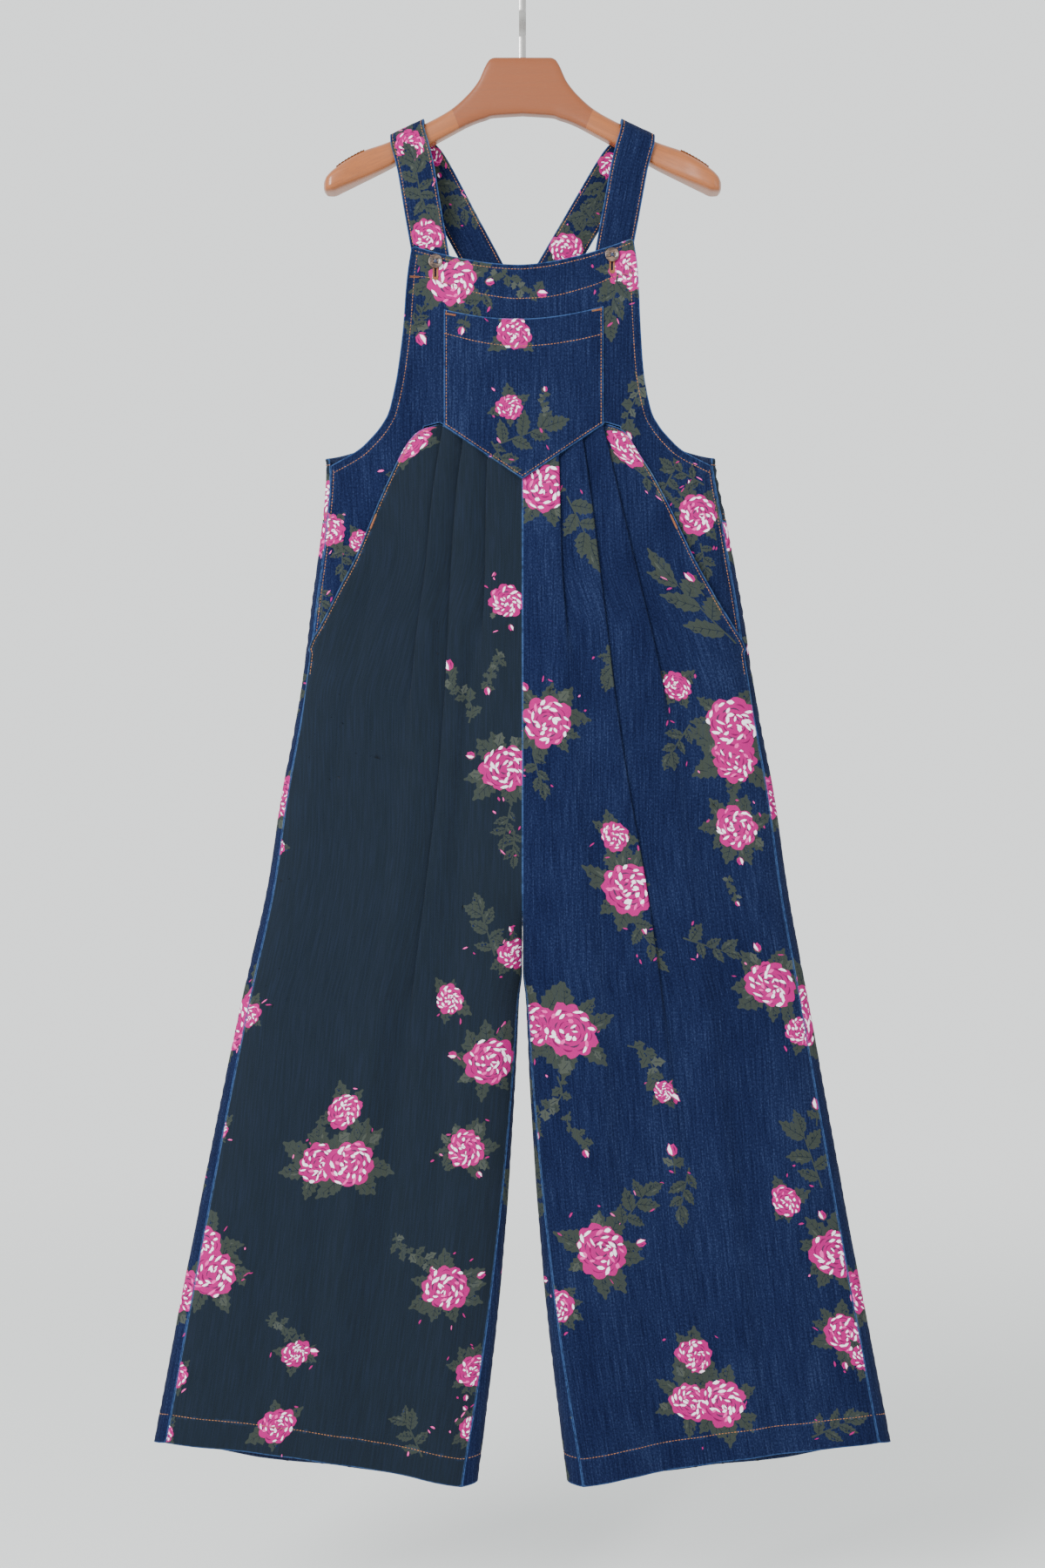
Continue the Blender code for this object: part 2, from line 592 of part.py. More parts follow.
def leg_row(inner, outer, edges_at, top):
    """Return one row of the front leg's middle surface.

    inner and outer are its ends (x, z), edges_at gives the pleats' edges at a z, and top is
    how far the row lies below the V seam.
    """
    inner, outer = np.array(inner), np.array(outer)
    width = np.linalg.norm(outer - inner)
    direction = (outer - inner) / width
    along, up = [0.0], [0.0]
    last_end, last_shut, last_height = 0.0, 1.0, 0.0
    for number, (under, shut_z, open_z, height) in enumerate(PLEATS):
        place = 0.0
        for _ in range(5):
            z = inner[1] + direction[1] * place
            place = (edges_at[number](z) - inner[0]) / direction[0]
        shut = float(ease(z / MM, open_z, shut_z))
        fade = 1 - 0.6 * float(ease(-z / MM, 1150, 1590))
        crest = height * MM * fade
        u, lift = pleat_layout(place, under * MM, shut, crest)
        top_up = lift[0]
        start = min(u.min(), u[0]) - 2.5 * MM
        if number == 0:
            along.append(start * 0.45)
            up.append(top_up * 0.5)
        else:
            emerge = last_end + (1.5 * MM if last_shut > 0.5 else 3.0 * MM)
            emerge = min(emerge, last_end + (start - last_end) * 0.35)
            along.append(emerge)
            up.append(0.0)
        along.append(start)
        up.append(top_up)
        along += list(u)
        up += list(lift)
        last_end = max(place, u[-1])
        last_shut = shut
    rest = width - last_end
    along.append(last_end + 1.5 * MM)
    up.append(0.0)
    along += [last_end + 1.5 * MM + (rest - 1.5 * MM) * share for share in OUTER_STATIONS]
    up += [0.0] * len(OUTER_STATIONS)
    along, up = np.array(along), np.array(up)
    x = inner[0] + direction[0] * along
    z = inner[1] + direction[1] * along
    on_bib = ease(x, LAP_START, LAP_FULL) * ease(z, LAP_GONE, LAP_END)
    tucked = (1 - ease(x, LAP_START - 3 * MM, LAP_FULL)) * (1 - ease(top, 0, PLEAT_TUCK))
    opening = (math.sin(math.pi * float(np.clip((outer[1] - HIP_OPENING_TOP)
                                                / (HIP_OPENING_END - HIP_OPENING_TOP), 0, 1)))
               * HIP_OPENING * ease(width - along, HIP_OPENING_REACH, 0))
    return x, z, up + LAP * on_bib - 2 * PLEAT_LAYER * tucked + opening


def leg_grid(side):
    """Return the grid of a front leg's middle surface."""
    table = LEFT_PLEATS if side < 0 else RIGHT_PLEATS
    edges_at = table_curves(table)
    at, (inner_z, outer_x, outer_z) = leg_row_ends()
    rows = []
    for line, low, far, high in zip(at, inner_z, outer_x, outer_z):
        inner = (float(leg_inner_edge(low)), low)
        x, z, out = leg_row(inner, (far, high), edges_at, inner_z[0] - low)
        share = (x - inner[0]) / (far - inner[0])
        last = len(LEG_ROWS) - 1
        z = z + HEM_BOW * 4 * share * (1 - share) * ease(line, last - 1.2, last)
        rows.append(on_front(side * x, z, out))
    return np.array(rows)


def make_front_legs(material):
    """Make the two pleated front leg panels."""
    for side, name in ((-1, "left"), (1, "right")):
        wall_from_grid(f"front_leg_{name}", leg_grid(side), DENIM, material)


# ================================================================ back panels
def back_path(z, to_middle):
    """Return the section of the back at a height, as a dense line of (x, y).

    It starts at the side seam on the front, goes round the side fold and across the back. With
    to_middle it ends at the centre back seam or, below the crotch, round the inner fold at the
    inseam. Without it, it goes on to the other side seam.
    """
    turn = np.linspace(0, 1, 60) ** 2
    wide, seam = float(half_width(z)), float(side_seam(z)) + SEAM
    front_x = seam + (wide - seam) * (1 - turn[::-1])
    front = np.stack([front_x, front_y(front_x, z)], axis=1)
    middle = 0.6 * wide
    back_x = np.concatenate([wide - (wide - middle) * turn[1:]])
    if not to_middle:
        half = np.vstack([front, np.stack([back_x, back_y(back_x, z)], axis=1)])
        return np.vstack([half, half[::-1] * (-1, 1)])
    fold = float(leg_fold(z)) * float(closing(z)) + SEAM / 2 * (1 - float(closing(z)))
    inner_x = fold + (middle - fold) * turn[::-1][1:]
    xs = np.concatenate([back_x, inner_x])
    path = [front, np.stack([xs, back_y(xs, z)], axis=1)]
    wrap = float(inseam_inset(z))
    if z < CROTCH_Z and wrap > 0:
        wrap_x = fold + wrap * turn[1:]
        path.append(np.stack([wrap_x, front_y(wrap_x, z)], axis=1))
    return np.vstack(path)


def back_stations(length, middle):
    """Return the distances along the back's section: close at its folds, even between."""
    edge = np.array(EDGE_STATIONS) * MM
    inner = np.linspace(edge[-1], length - edge[-1], middle + 2)[1:-1]
    return np.concatenate([edge, inner, length - edge[::-1]])


def back_section(z, count, to_middle):
    """Return the back's section at a height, its length along it, and its stations."""
    path = back_path(z, to_middle)
    steps = np.linalg.norm(np.diff(path, axis=0), axis=1)
    length = np.concatenate([[0], np.cumsum(steps)])
    return path, length, back_stations(length[-1], count)


def back_point(z, number, count, to_middle):
    """Return the numbered station of the back's section at a height."""
    path, length, stations = back_section(z, count, to_middle)
    at = stations[number]
    return np.array([np.interp(at, length, path[:, 0]), np.interp(at, length, path[:, 1]), z])


def bodice_grid():
    """Return the grid of the back above the waist seam."""
    columns = 2 * len(EDGE_STATIONS) + BODICE_MIDDLE
    rows = []
    for row in range(BODICE_ROWS + 1):
        share = row / BODICE_ROWS
        points = []
        for number in range(columns):
            level = back_point(-520 * MM, number, BODICE_MIDDLE, False)
            top = float(back_top(abs(level[0]))) if level[1] > 0 else UNDERARM_Z
            z = top + (WAIST_Z - top) * share
            points.append(back_point(z, number, BODICE_MIDDLE, False))
        rows.append(points)
    return leaned(np.array(rows))


def back_leg_grid(side):
    """Return the grid of a back leg panel."""
    at, (inner_row, _, outer_row) = leg_row_ends()
    start = int(np.argmax(at >= SIDE_SEAM_ROW))
    share = np.arange(BACK_TOP_ROWS) / BACK_TOP_ROWS
    waist = WAIST_Z - SEAM
    inner_row = np.concatenate([waist + (inner_row[start] - waist) * share, inner_row[start:]])
    outer_row = np.concatenate([waist + (outer_row[start] - waist) * share, outer_row[start:]])
    rows = []
    for inner_z, outer_z in zip(inner_row, outer_row):
        drop = BACK_HEM_DROP if inner_z == inner_row[-1] else 0.0
        _, length, stations = back_section((inner_z + outer_z) / 2, BACK_LEG_MIDDLE, True)
        points = []
        for number, share in enumerate(stations / length[-1]):
            bow = drop * float(ease(share, 0.05, 0.35) * ease(share, 0.95, 0.65))
            z = outer_z + (inner_z - outer_z) * share - bow
            points.append(back_point(z, number, BACK_LEG_MIDDLE, True) * (side, 1, 1))
        rows.append(points)
    return leaned(np.array(rows))


def make_back(material):
    """Make the back bodice and the two back leg panels."""
    wall_from_grid("back_bodice", bodice_grid(), DENIM, material)
    for side, name in ((-1, "left"), (1, "right")):
        wall_from_grid(f"back_leg_{name}", back_leg_grid(side), DENIM, material)


# ================================================================ straps
def strap_route(side):
    """Return a strap's route: distance from the middle, y, z and lean, end to end."""
    raised = RIGHT_STRAP_RAISED / MM if side > 0 else 0.0
    front = [(x, y, z + raised * float(ease(z, -180, -300)), tilt)
             for x, y, z, tilt in STRAP_FRONT]
    x, z, radius, tilt = ARM_LOOP
    loop = [(x, -radius * math.cos(a), z + radius * math.sin(a), tilt)
            for a in np.radians([25, 50, 75, 105, 130, 155])]
    column = 0 if side < 0 else 1
    back = [(row[column], row[2 + column], row[4], row[5]) for row in STRAP_BACK]
    return front + loop + back


def make_straps(material):
    """Make the two straps, each a ribbon over the hanger's arm."""
    for side, name in ((-1, "left"), (1, "right")):
        route = through(np.array(strap_route(side)) * (MM, MM, MM, 1), STRAP_ROWS)
        tilt = np.radians(route[:, 3])
        width = np.stack([-np.cos(tilt), np.zeros(len(tilt)), np.sin(tilt)], axis=1)
        across = np.array([-0.5, 0.0, 0.5]) * STRAP_WIDTH
        grid = route[:, None, :3] + across[None, :, None] * width[:, None]
        wall_from_grid(f"strap_{name}", grid * (side, 1, 1), STRAP, material)


# ================================================================ buttons
def make_buttons(material):
    """Make the two buttons: a dished disc with a rim, and its thread shank."""
    for side, name in ((-1, "left"), (1, "right")):
        x, z = np.array(BUTTONS[side]) * MM
        bib = float(front_y(x, z))
        back = bib - DENIM / 2 - LAYER
        front = back - BUTTON_THICK
        end = bib + DENIM / 2 + 0.1 * MM
        profile = [
            (SHANK_RADIUS, end), (SHANK_RADIUS, back), (BUTTON_RADIUS - 1.2 * MM, back),
            (BUTTON_RADIUS, back - 1.0 * MM), (BUTTON_RADIUS - 0.6 * MM, front),
            (BUTTON_RADIUS - 1.8 * MM, front), (BUTTON_RADIUS - 2.6 * MM, front + 0.7 * MM),
        ]
        turns = 20
        points, faces = [], []
        for radius, y in profile:
            for step in range(turns):
                angle = 2 * math.pi * step / turns
                points.append((x + radius * math.cos(angle), y, z + radius * math.sin(angle)))
        for ring in range(len(profile) - 1):
            for step in range(turns):
                a, b = ring * turns + step, ring * turns + (step + 1) % turns
                faces.append((a, b, b + turns, a + turns))
        faces.append(tuple(range(turns)))
        faces.append(tuple(range(len(points) - turns, len(points))))
        add_piece(f"button_{name}", points, faces, material)


# ================================================================ hanger
hanger_curves = None


def hanger_section(x, grow=0.0):
    """Return the hanger's section at x: a rounded ring of points in the YZ plane."""
    reach = abs(x)
    top, bottom, depth, square = (curve(reach) for curve in hanger_curves)
    half = (top - bottom) / 2 + grow
    depth = depth + grow
    power = 2 / (square / MM)
    ring = []
    for step in range(SECTION_POINTS):
        angle = 2 * math.pi * (step + 0.5) / SECTION_POINTS
        ring.append(section_point(x, (top + bottom) / 2, half, depth, power, angle))
    return ring


def section_point(x, middle, half, depth, power, angle):
    """Return one point of a rounded section."""
    c, s = math.cos(angle), math.sin(angle)
    power = power if s > 0 else min(power, 2 / UNDERSIDE_SQUARE)
    return (x, depth * math.copysign(abs(c) ** power, c),
            middle + half * math.copysign(abs(s) ** power, s))


def make_hanger_body(material):
    """Make the wooden body: a deep block in the middle and two arms that flare to the tips."""
    steps = [-s * MM for s in reversed(HANGER_STEPS[1:])] + [s * MM for s in HANGER_STEPS]
    points, faces = [], []
    for x in steps:
        points += hanger_section(x)
    n = SECTION_POINTS
    for ring in range(len(steps) - 1):
        for step in range(n):
            a, b = ring * n + step, ring * n + (step + 1) % n
            faces.append((a, b, b + n, a + n))
    faces.append(tuple(range(n)))
    faces.append(tuple(range(len(points) - n, len(points))))
    body = add_piece("hanger_body", points, faces, material)
    top = HANGER[0][1] * MM
    bpy.ops.mesh.primitive_cube_add(size=1, location=(0, 0, top))
    cutter = bpy.context.object
    cutter.name = "socket_cutter"
    cutter.scale = (HOOK_WIDTH + 0.7 * MM, HOOK_THICK + 0.7 * MM, 2 * (HOOK_SOCKET + 0.5 * MM))
    cutter.hide_render = True
    cutter.display_type = "WIRE"
    cut = body.modifiers.new("socket", "BOOLEAN")
    cut.operation = "DIFFERENCE"
    cut.object = cutter


def hook_route():
    """Return the hook's middle line in the YZ plane, from the wood over the top to its tip."""
    radius = HOOK_INNER_RADIUS + HOOK_THICK / 2
    wood = HANGER[0][1] * MM - HOOK_SOCKET
    crank = [(-radius * float(ease(t, 0, 1)), HOOK_CRANK_LOW + (HOOK_CRANK_HIGH - HOOK_CRANK_LOW) * t)
             for t in np.linspace(0, 1, 7)]
    bow = [(-radius * math.cos(a), -HOOK_INNER_RADIUS + radius * math.sin(a))
           for a in np.radians(np.linspace(0, HOOK_OPEN, 16))]
    tip_y, tip_z = bow[-1]
    tip = [(tip_y + 1.5 * MM, tip_z - 7 * MM), (tip_y + 5 * MM, tip_z - 12 * MM)]
    return np.array([(0, wood)] + crank + bow + tip)


def make_hanger_hook(material):
    """Make the hook: a flat strip bent in the YZ plane."""
    route = hook_route()
    ahead = unit(np.diff(route, axis=0))
    direction = unit(np.vstack([ahead[:1], ahead[:-1] + ahead[1:], ahead[-1:]]))
    normal = np.stack([-direction[:, 1], direction[:, 0]], axis=1)
    bevel = 0.6 * MM
    wide, thick = HOOK_WIDTH / 2, HOOK_THICK / 2
    corners = [(wide, -thick + bevel), (wide, thick - bevel), (wide - bevel, thick),
               (-wide + bevel, thick), (-wide, thick - bevel), (-wide, -thick + bevel),
               (-wide + bevel, -thick), (wide - bevel, -thick)]
    points = []
    for (y, z), (ny, nz) in zip(route, normal):
        points += [(x, y + ny * t, z + nz * t) for x, t in corners]
    n = len(corners)
    faces = [(r * n + c, r * n + (c + 1) % n, (r + 1) * n + (c + 1) % n, (r + 1) * n + c)
             for r in range(len(route) - 1) for c in range(n)]
    faces += [tuple(range(n)), tuple(range(len(points) - n, len(points)))]
    add_piece("hanger_hook", points, faces, material)


def make_hanger_grips(material):
    """Make the two anti-slip strips that lie on the ends of the arms."""
    grow = 0.3 * MM + GRIP_THICK / 2
    for side, name in ((-1, "left"), (1, "right")):
        grid = []
        for x in np.linspace(GRIP_FROM, GRIP_TO, 9):
            top, bottom, depth, square = (float(curve(x)) for curve in hanger_curves)
            row = [section_point(side * x, (top + bottom) / 2, (top - bottom) / 2 + grow,
                                 depth + grow, 2 / (square / MM), math.radians(a))
                   for a in np.linspace(*GRIP_ARC, 7)]
            grid.append(row)
        wall_from_grid(f"hanger_grip_{name}", np.array(grid), GRIP_THICK, material)


def main():
    """Build the garment on its hanger."""
    global hanger_curves
    for thing in list(bpy.data.objects):
        bpy.data.objects.remove(thing)
    hanger_curves = table_curves(HANGER)
    cloth = denim("denim", (0.0194, 0.0513, 0.159))
    make_bib(cloth)
    make_front_legs(cloth)
    make_back(cloth)
    make_straps(cloth)
    make_buttons(finish("horn button", (0.09, 0.05, 0.035), 0.35, 0.0))
    make_hanger_body(finish("varnished beech", (0.55, 0.25, 0.10), 0.3, 0.0))
    make_hanger_hook(finish("satin nickel", (0.62, 0.62, 0.63), 0.3, 1.0))
    make_hanger_grips(finish("anti-slip strip", (0.25, 0.13, 0.07), 0.8, 0.0))


main()
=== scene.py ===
"""Wide-leg bib dungarees in rose-printed denim, buttoned over a wooden coat hanger.

The cloth is cut, not drawn: every panel starts as a flat outline with its print, which is cut into
the panel's own triangles, and is then laid on the hanging form, pleats and folds with it. Flat
coordinates are metres on the cloth, and space is metres with +Z up, the front facing -Y.
"""

import logging
import math
from dataclasses import dataclass, field
from enum import Enum
from typing import Callable, Sequence

import bmesh
import bpy
import numpy as np
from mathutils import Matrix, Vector
from mathutils.geometry import delaunay_2d_cdt
from mathutils.kdtree import KDTree


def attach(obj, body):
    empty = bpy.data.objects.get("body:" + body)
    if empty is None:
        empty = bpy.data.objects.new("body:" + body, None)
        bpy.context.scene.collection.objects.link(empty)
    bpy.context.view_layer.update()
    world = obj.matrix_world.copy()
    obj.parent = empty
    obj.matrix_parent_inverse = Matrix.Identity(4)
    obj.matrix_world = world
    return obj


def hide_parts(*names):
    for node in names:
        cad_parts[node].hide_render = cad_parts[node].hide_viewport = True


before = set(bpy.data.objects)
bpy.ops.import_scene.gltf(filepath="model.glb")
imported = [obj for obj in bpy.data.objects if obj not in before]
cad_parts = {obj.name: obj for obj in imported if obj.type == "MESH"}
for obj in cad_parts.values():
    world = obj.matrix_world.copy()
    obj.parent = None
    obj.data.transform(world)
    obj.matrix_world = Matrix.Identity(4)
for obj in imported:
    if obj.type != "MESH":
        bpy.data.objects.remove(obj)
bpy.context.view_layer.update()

log = logging.getLogger("dungarees")

MM = 0.001
DENIM = 1.2 * MM            # one layer of denim
STRAP = 2.4 * MM            # a strap, folded from two layers
SEAM = 0.4 * MM             # between two edges that are sewn together
CENTRE = 0.04 * MM          # likewise down the middle, where the gap would show
LAYER = 0.4 * MM            # air between two layers that lie on each other
ROOT = "root"
BLOCK = 256                 # points measured at once

Table = Sequence[Sequence[float]]
Curve = Callable[[np.ndarray], np.ndarray]


# ================================================================ tables as smooth curves
def smooth_curve(keys: Sequence[float], values: Sequence[float]) -> Curve:
    """Run a smooth curve through a table, without overshoot.

    Args:
        keys: where the values are known.
        values: the values there.

    Returns:
        A function of the key, constant past the table's ends.
    """
    order = np.argsort(keys)
    keys = np.asarray(keys, float)[order]
    values = np.asarray(values, float)[order]
    step = np.diff(keys)
    slope = np.diff(values) / step
    product = slope[:-1] * slope[1:]
    total = slope[:-1] + slope[1:]
    tangent = np.concatenate([slope[:1], np.zeros(len(slope) - 1), slope[-1:]])
    turning = product > 0
    tangent[1:-1][turning] = 2 * product[turning] / total[turning]

    def curve(at: np.ndarray) -> np.ndarray:
        """Read the curve."""
        at = np.clip(np.asarray(at, float), keys[0], keys[-1])
        cell = np.clip(np.searchsorted(keys, at, side="right") - 1, 0, len(step) - 1)
        width = step[cell]
        t = (at - keys[cell]) / width
        start, end = values[cell], values[cell + 1]
        return ((2 * t**3 - 3 * t**2 + 1) * start + (t**3 - 2 * t**2 + t) * width * tangent[cell]
                + (3 * t**2 - 2 * t**3) * end + (t**3 - t**2) * width * tangent[cell + 1])

    return curve


def table_curves(table: Table) -> list[Curve]:
    """Return one smooth curve in metres for each column after a millimetre table's first."""
    columns = np.array(table, float).T * MM
    return [smooth_curve(columns[0], column) for column in columns[1:]]


def ease(value: np.ndarray | float, start: float, end: float) -> np.ndarray:
    """Return 0 at start and 1 at end, with a soft beginning and finish."""
    t = np.clip((np.asarray(value, float) - start) / (end - start), 0, 1)
    return t * t * (3 - 2 * t)


def unit(vectors: np.ndarray) -> np.ndarray:
    """Return vectors of length one."""
    return vectors / np.maximum(np.linalg.norm(vectors, axis=-1, keepdims=True), 1e-12)


def through(points: Sequence[Sequence[float]], count: int) -> np.ndarray:
    """Return evenly spaced points on a smooth line.

    Args:
        points: the points that the line passes; columns after the third ride along.
        count: how many points to return.

    Returns:
        The new points, with as many columns as the given ones.
    """
    points = np.asarray(points, float)
    padded = np.vstack([2 * points[0] - points[1], points, 2 * points[-1] - points[-2]])
    fine = []
    for a, b, c, d in zip(padded, padded[1:], padded[2:], padded[3:]):
        for t in np.linspace(0, 1, 16, endpoint=False):
            fine.append(0.5 * (2 * b + (c - a) * t + (2 * a - 5 * b + 4 * c - d) * t * t
                               + (3 * b - a - 3 * c + d) * t**3))
    fine.append(points[-1])
    return resample(np.array(fine), count)


def lengths(line: np.ndarray) -> np.ndarray:
    """Return the distance along a line of each of its points."""
    return np.concatenate([[0], np.cumsum(np.linalg.norm(np.diff(line[:, :3], axis=0), axis=1))])


def resample(line: np.ndarray, count: int) -> np.ndarray:
    """Return a line with evenly spaced points."""
    length = lengths(line)
    at = np.linspace(0, length[-1], count)
    return np.stack([np.interp(at, length, column) for column in line.T], axis=1)


def spaced(line: np.ndarray, spacing: float) -> np.ndarray:
    """Return a line with points about a spacing apart."""
    return resample(line, max(2, int(round(lengths(line)[-1] / spacing)) + 1))


def beside(line: np.ndarray, distance: float) -> np.ndarray:
    """Return a flat line moved sideways, to the left of the way it runs."""
    ahead = unit(np.diff(line, axis=0))
    ahead = unit(np.vstack([ahead[:1], ahead[:-1] + ahead[1:], ahead[-1:]]))
    return line + distance * np.stack([-ahead[:, 1], ahead[:, 0]], axis=1)


def inside(points: np.ndarray, outline: np.ndarray) -> np.ndarray:
    """Return which points lie within an outline."""
    x, z = points[:, 0][:, None], points[:, 1][:, None]
    start, end = outline, np.roll(outline, -1, axis=0)
    crosses = (start[:, 1] > z) != (end[:, 1] > z)
    rise = np.where(end[:, 1] == start[:, 1], 1.0, end[:, 1] - start[:, 1])
    at = start[:, 0] + (z - start[:, 1]) * (end[:, 0] - start[:, 0]) / rise
    return np.sum(crosses & (x < at), axis=1) % 2 == 1


def distance_to(points: np.ndarray, line: np.ndarray, closed: bool) -> np.ndarray:
    """Return how far points lie from a line.

    Args:
        points: the places to measure from.
        line: the line's points.
        closed: whether the line's end joins its start.

    Returns:
        One distance for each point.
    """
    start = line if closed else line[:-1]
    edge = (np.roll(line, -1, axis=0) - line) if closed else np.diff(line, axis=0)
    size = np.maximum(np.sum(edge * edge, axis=1), 1e-18)
    (start_x, start_z), (edge_x, edge_z) = start.T, edge.T
    best = np.empty(len(points))
    for first in range(0, len(points), BLOCK):
        x, z = points[first:first + BLOCK].T
        x, z = x[:, None] - start_x, z[:, None] - start_z
        share = np.clip((x * edge_x + z * edge_z) / size, 0, 1)
        x, z = x - share * edge_x, z - share * edge_z
        best[first:first + BLOCK] = np.sqrt((x * x + z * z).min(axis=1))
    return best


# ================================================================ the photograph's frame
@dataclass(frozen=True)
class View:
    """The photograph's frame, which gives the camera and the places read from it."""

    width: int = 1200
    height: int = 1800
    scale: float = 0.92 * MM        # metres on the plane y = 0 for one pixel
    middle_z: float = -0.851        # the height that the frame's middle looks at
    distance: float = 2.4
    sensor: float = 36.0
    cloth_y: float = -0.02          # the cloth's front lies about here

    def place(self, px: float, py: float) -> tuple[float, float]:
        """Return the x and z on the cloth's front of a place in the photograph."""
        nearer = self.scale * (self.distance + self.cloth_y) / self.distance
        return ((px - self.width / 2) * nearer, self.middle_z - (py - self.height / 2) * nearer)

    def line(self, pixels: Table) -> np.ndarray:
        """Return a line on the cloth's front from places in the photograph."""
        return np.array([self.place(px, py) for px, py in pixels])

    def make_camera(self) -> bpy.types.Object:
        """Make the camera, level and square to the front, as the photograph was taken."""
        data = bpy.data.cameras.new("camera")
        data.sensor_fit = "AUTO"
        data.sensor_width = self.sensor
        data.lens = self.sensor * self.distance / (self.scale * self.height)
        camera = bpy.data.objects.new("camera", data)
        camera.location = (0, -self.distance, self.middle_z)
        camera.rotation_euler = (math.pi / 2, 0, 0)
        bpy.context.scene.collection.objects.link(camera)
        bpy.context.scene.camera = camera
        return camera


VIEW = View()


# ================================================================ how the cloth hangs
@dataclass
class Drape:
    """The front and back surfaces on which the panels lie. The tables are in millimetres."""

    # z, half width to the side fold, how far in front of the fold the side seam lies
    side: Table = (
        (-380, 204, 5), (-512, 205.5, 5), (-585, 214.5, 6), (-659, 226.5, 7), (-745, 238, 7),
        (-868, 260.5, 8), (-958, 274, 9), (-1081, 299, 10), (-1198, 322, 11),
        (-1311, 343.5, 12), (-1432, 367, 13), (-1547, 389, 14), (-1620, 403, 14))
    # z, how far the sides lean to the right
    leaning: Table = (
        (-530, 0), (-600, 3), (-700, 5), (-780, 5.8), (-930, 5.5), (-1080, 2.6), (-1200, 0.9),
        (-1400, -0.4), (-1600, 0))
    # z, how far the bib's edges are drawn to the left at the armholes
    swaying: Table = ((-300, 0), (-370, 0.8), (-430, 2.2), (-500, 2.6), (-530, 0.5), (-560, 0))
    sway_from: float = 95 * MM
    sway_full: float = 122 * MM
    # z, inner fold of the leg, how far in front of it the inseam lies
    inner: Table = (
        (-1046, 0, 0), (-1081, 4, 1.5), (-1148, 7, 3), (-1232, 12, 5), (-1298, 16.5, 7),
        (-1365, 22, 9), (-1432, 28.5, 11), (-1495, 36, 13), (-1593, 48.5, 16), (-1620, 52, 16))
    # z, how far the front stands before the side fold, how far the back stands behind it
    depth: Table = (
        (-260, 13, 9), (-415, 14, 10), (-512, 16, 12), (-700, 20, 16), (-1046, 22, 18),
        (-1350, 20, 17), (-1620, 18, 19))
    # folds: top x, top z, bottom x, bottom z, half width, height
    front_folds: Table = (
        (-150, -800, -200, -1560, 20, 3.5), (-188, -900, -262, -1560, 24, 3.0),
        (-60, -980, -88, -1590, 16, 2.5), (-235, -1020, -330, -1550, 26, 3.0),
        (178, -860, 232, -1560, 22, 3.5), (226, -960, 300, -1550, 26, 3.0),
        (62, -1000, 92, -1590, 18, 3.0), (120, -1040, 160, -1580, 20, -2.5),
        (-118, -1000, -142, -1580, 18, -2.5), (48, -330, 70, -470, 30, 1.2))
    back_folds: Table = (
        (-70, -640, -120, -1560, 22, 4.0), (-140, -700, -215, -1560, 26, 4.5),
        (-200, -820, -305, -1550, 28, 3.5), (60, -650, 105, -1570, 22, 4.0),
        (135, -690, 205, -1560, 26, 4.5), (205, -840, 310, -1550, 28, 3.5))
    # slighter creases, too fine for the solids, in the same columns
    front_creases: Table = (
        (-130, -520, -165, -760, 9, 0.9), (-150, -560, -196, -820, 7, -0.8),
        (140, -520, 176, -750, 8, -0.8), (158, -580, 205, -860, 9, 0.9),
        (-96, -1180, -104, -1500, 9, 1.0), (-222, -1160, -246, -1480, 11, 1.1),
        (-292, -1240, -322, -1540, 10, -0.9), (112, -1150, 121, -1520, 9, 1.0),
        (205, -1210, 224, -1520, 10, -1.0), (262, -1130, 290, -1450, 11, 1.0),
        (-28, -600, -26, -900, 8, 0.7), (26, -640, 30, -960, 8, -0.7),
        (-60, -330, -66, -420, 12, 0.6), (12, -390, 6, -500, 14, 0.6),
        (-176, -520, -196, -640, 8, -0.8), (182, -530, 204, -650, 7, 0.8))
    side_roll: float = 45 * MM
    inner_roll: float = 32 * MM
    crotch_z: float = -1046 * MM
    rise_roll: float = 95 * MM
    centre_clear: float = 0.9 * MM

    def __post_init__(self) -> None:
        """Turn the tables into curves."""
        self.half_width, self.seam_inset = table_curves(self.side)
        self.lean, = table_curves(self.leaning)
        self.sway, = table_curves(self.swaying)
        self.inner_fold, self.inseam_inset = table_curves(self.inner)
        self.front_depth, self.back_depth = table_curves(self.depth)

    def closing(self, z: np.ndarray) -> np.ndarray:
        """Return how far the legs have parted: 0 over the rise, 1 at the crotch and below."""
        return ease(-z, -self.crotch_z - self.rise_roll, -self.crotch_z)

    def leg_fold(self, z: np.ndarray) -> np.ndarray:
        """Return the distance of the leg's inner fold from the middle."""
        return np.maximum(self.inner_fold(z), self.centre_clear)

    def side_seam(self, z: np.ndarray) -> np.ndarray:
        """Return the distance of the side seam from the middle."""
        return self.half_width(z) - self.seam_inset(z)

    def inner_edge(self, z: np.ndarray) -> np.ndarray:
        """Return the front leg's inner edge: the centre seam, then the inseam."""
        return CENTRE / 2 + self.closing(z) * (self.leg_fold(z) + self.inseam_inset(z) + SEAM)

    def fullness(self, x: np.ndarray, z: np.ndarray) -> np.ndarray:
        """Return how far the cloth has rounded away from its folds, 0 to 1."""
        def rounded(share: np.ndarray) -> np.ndarray:
            """Return a quarter circle's height over its width."""
            return np.sqrt(np.clip(1 - (1 - np.clip(share, 0, 1)) ** 2, 0, 1))

        outer = rounded((self.half_width(z) - np.abs(x)) / self.side_roll)
        inner = rounded((np.abs(x) - self.leg_fold(z)) / self.inner_roll)
        return outer * (1 - self.closing(z) * (1 - inner))

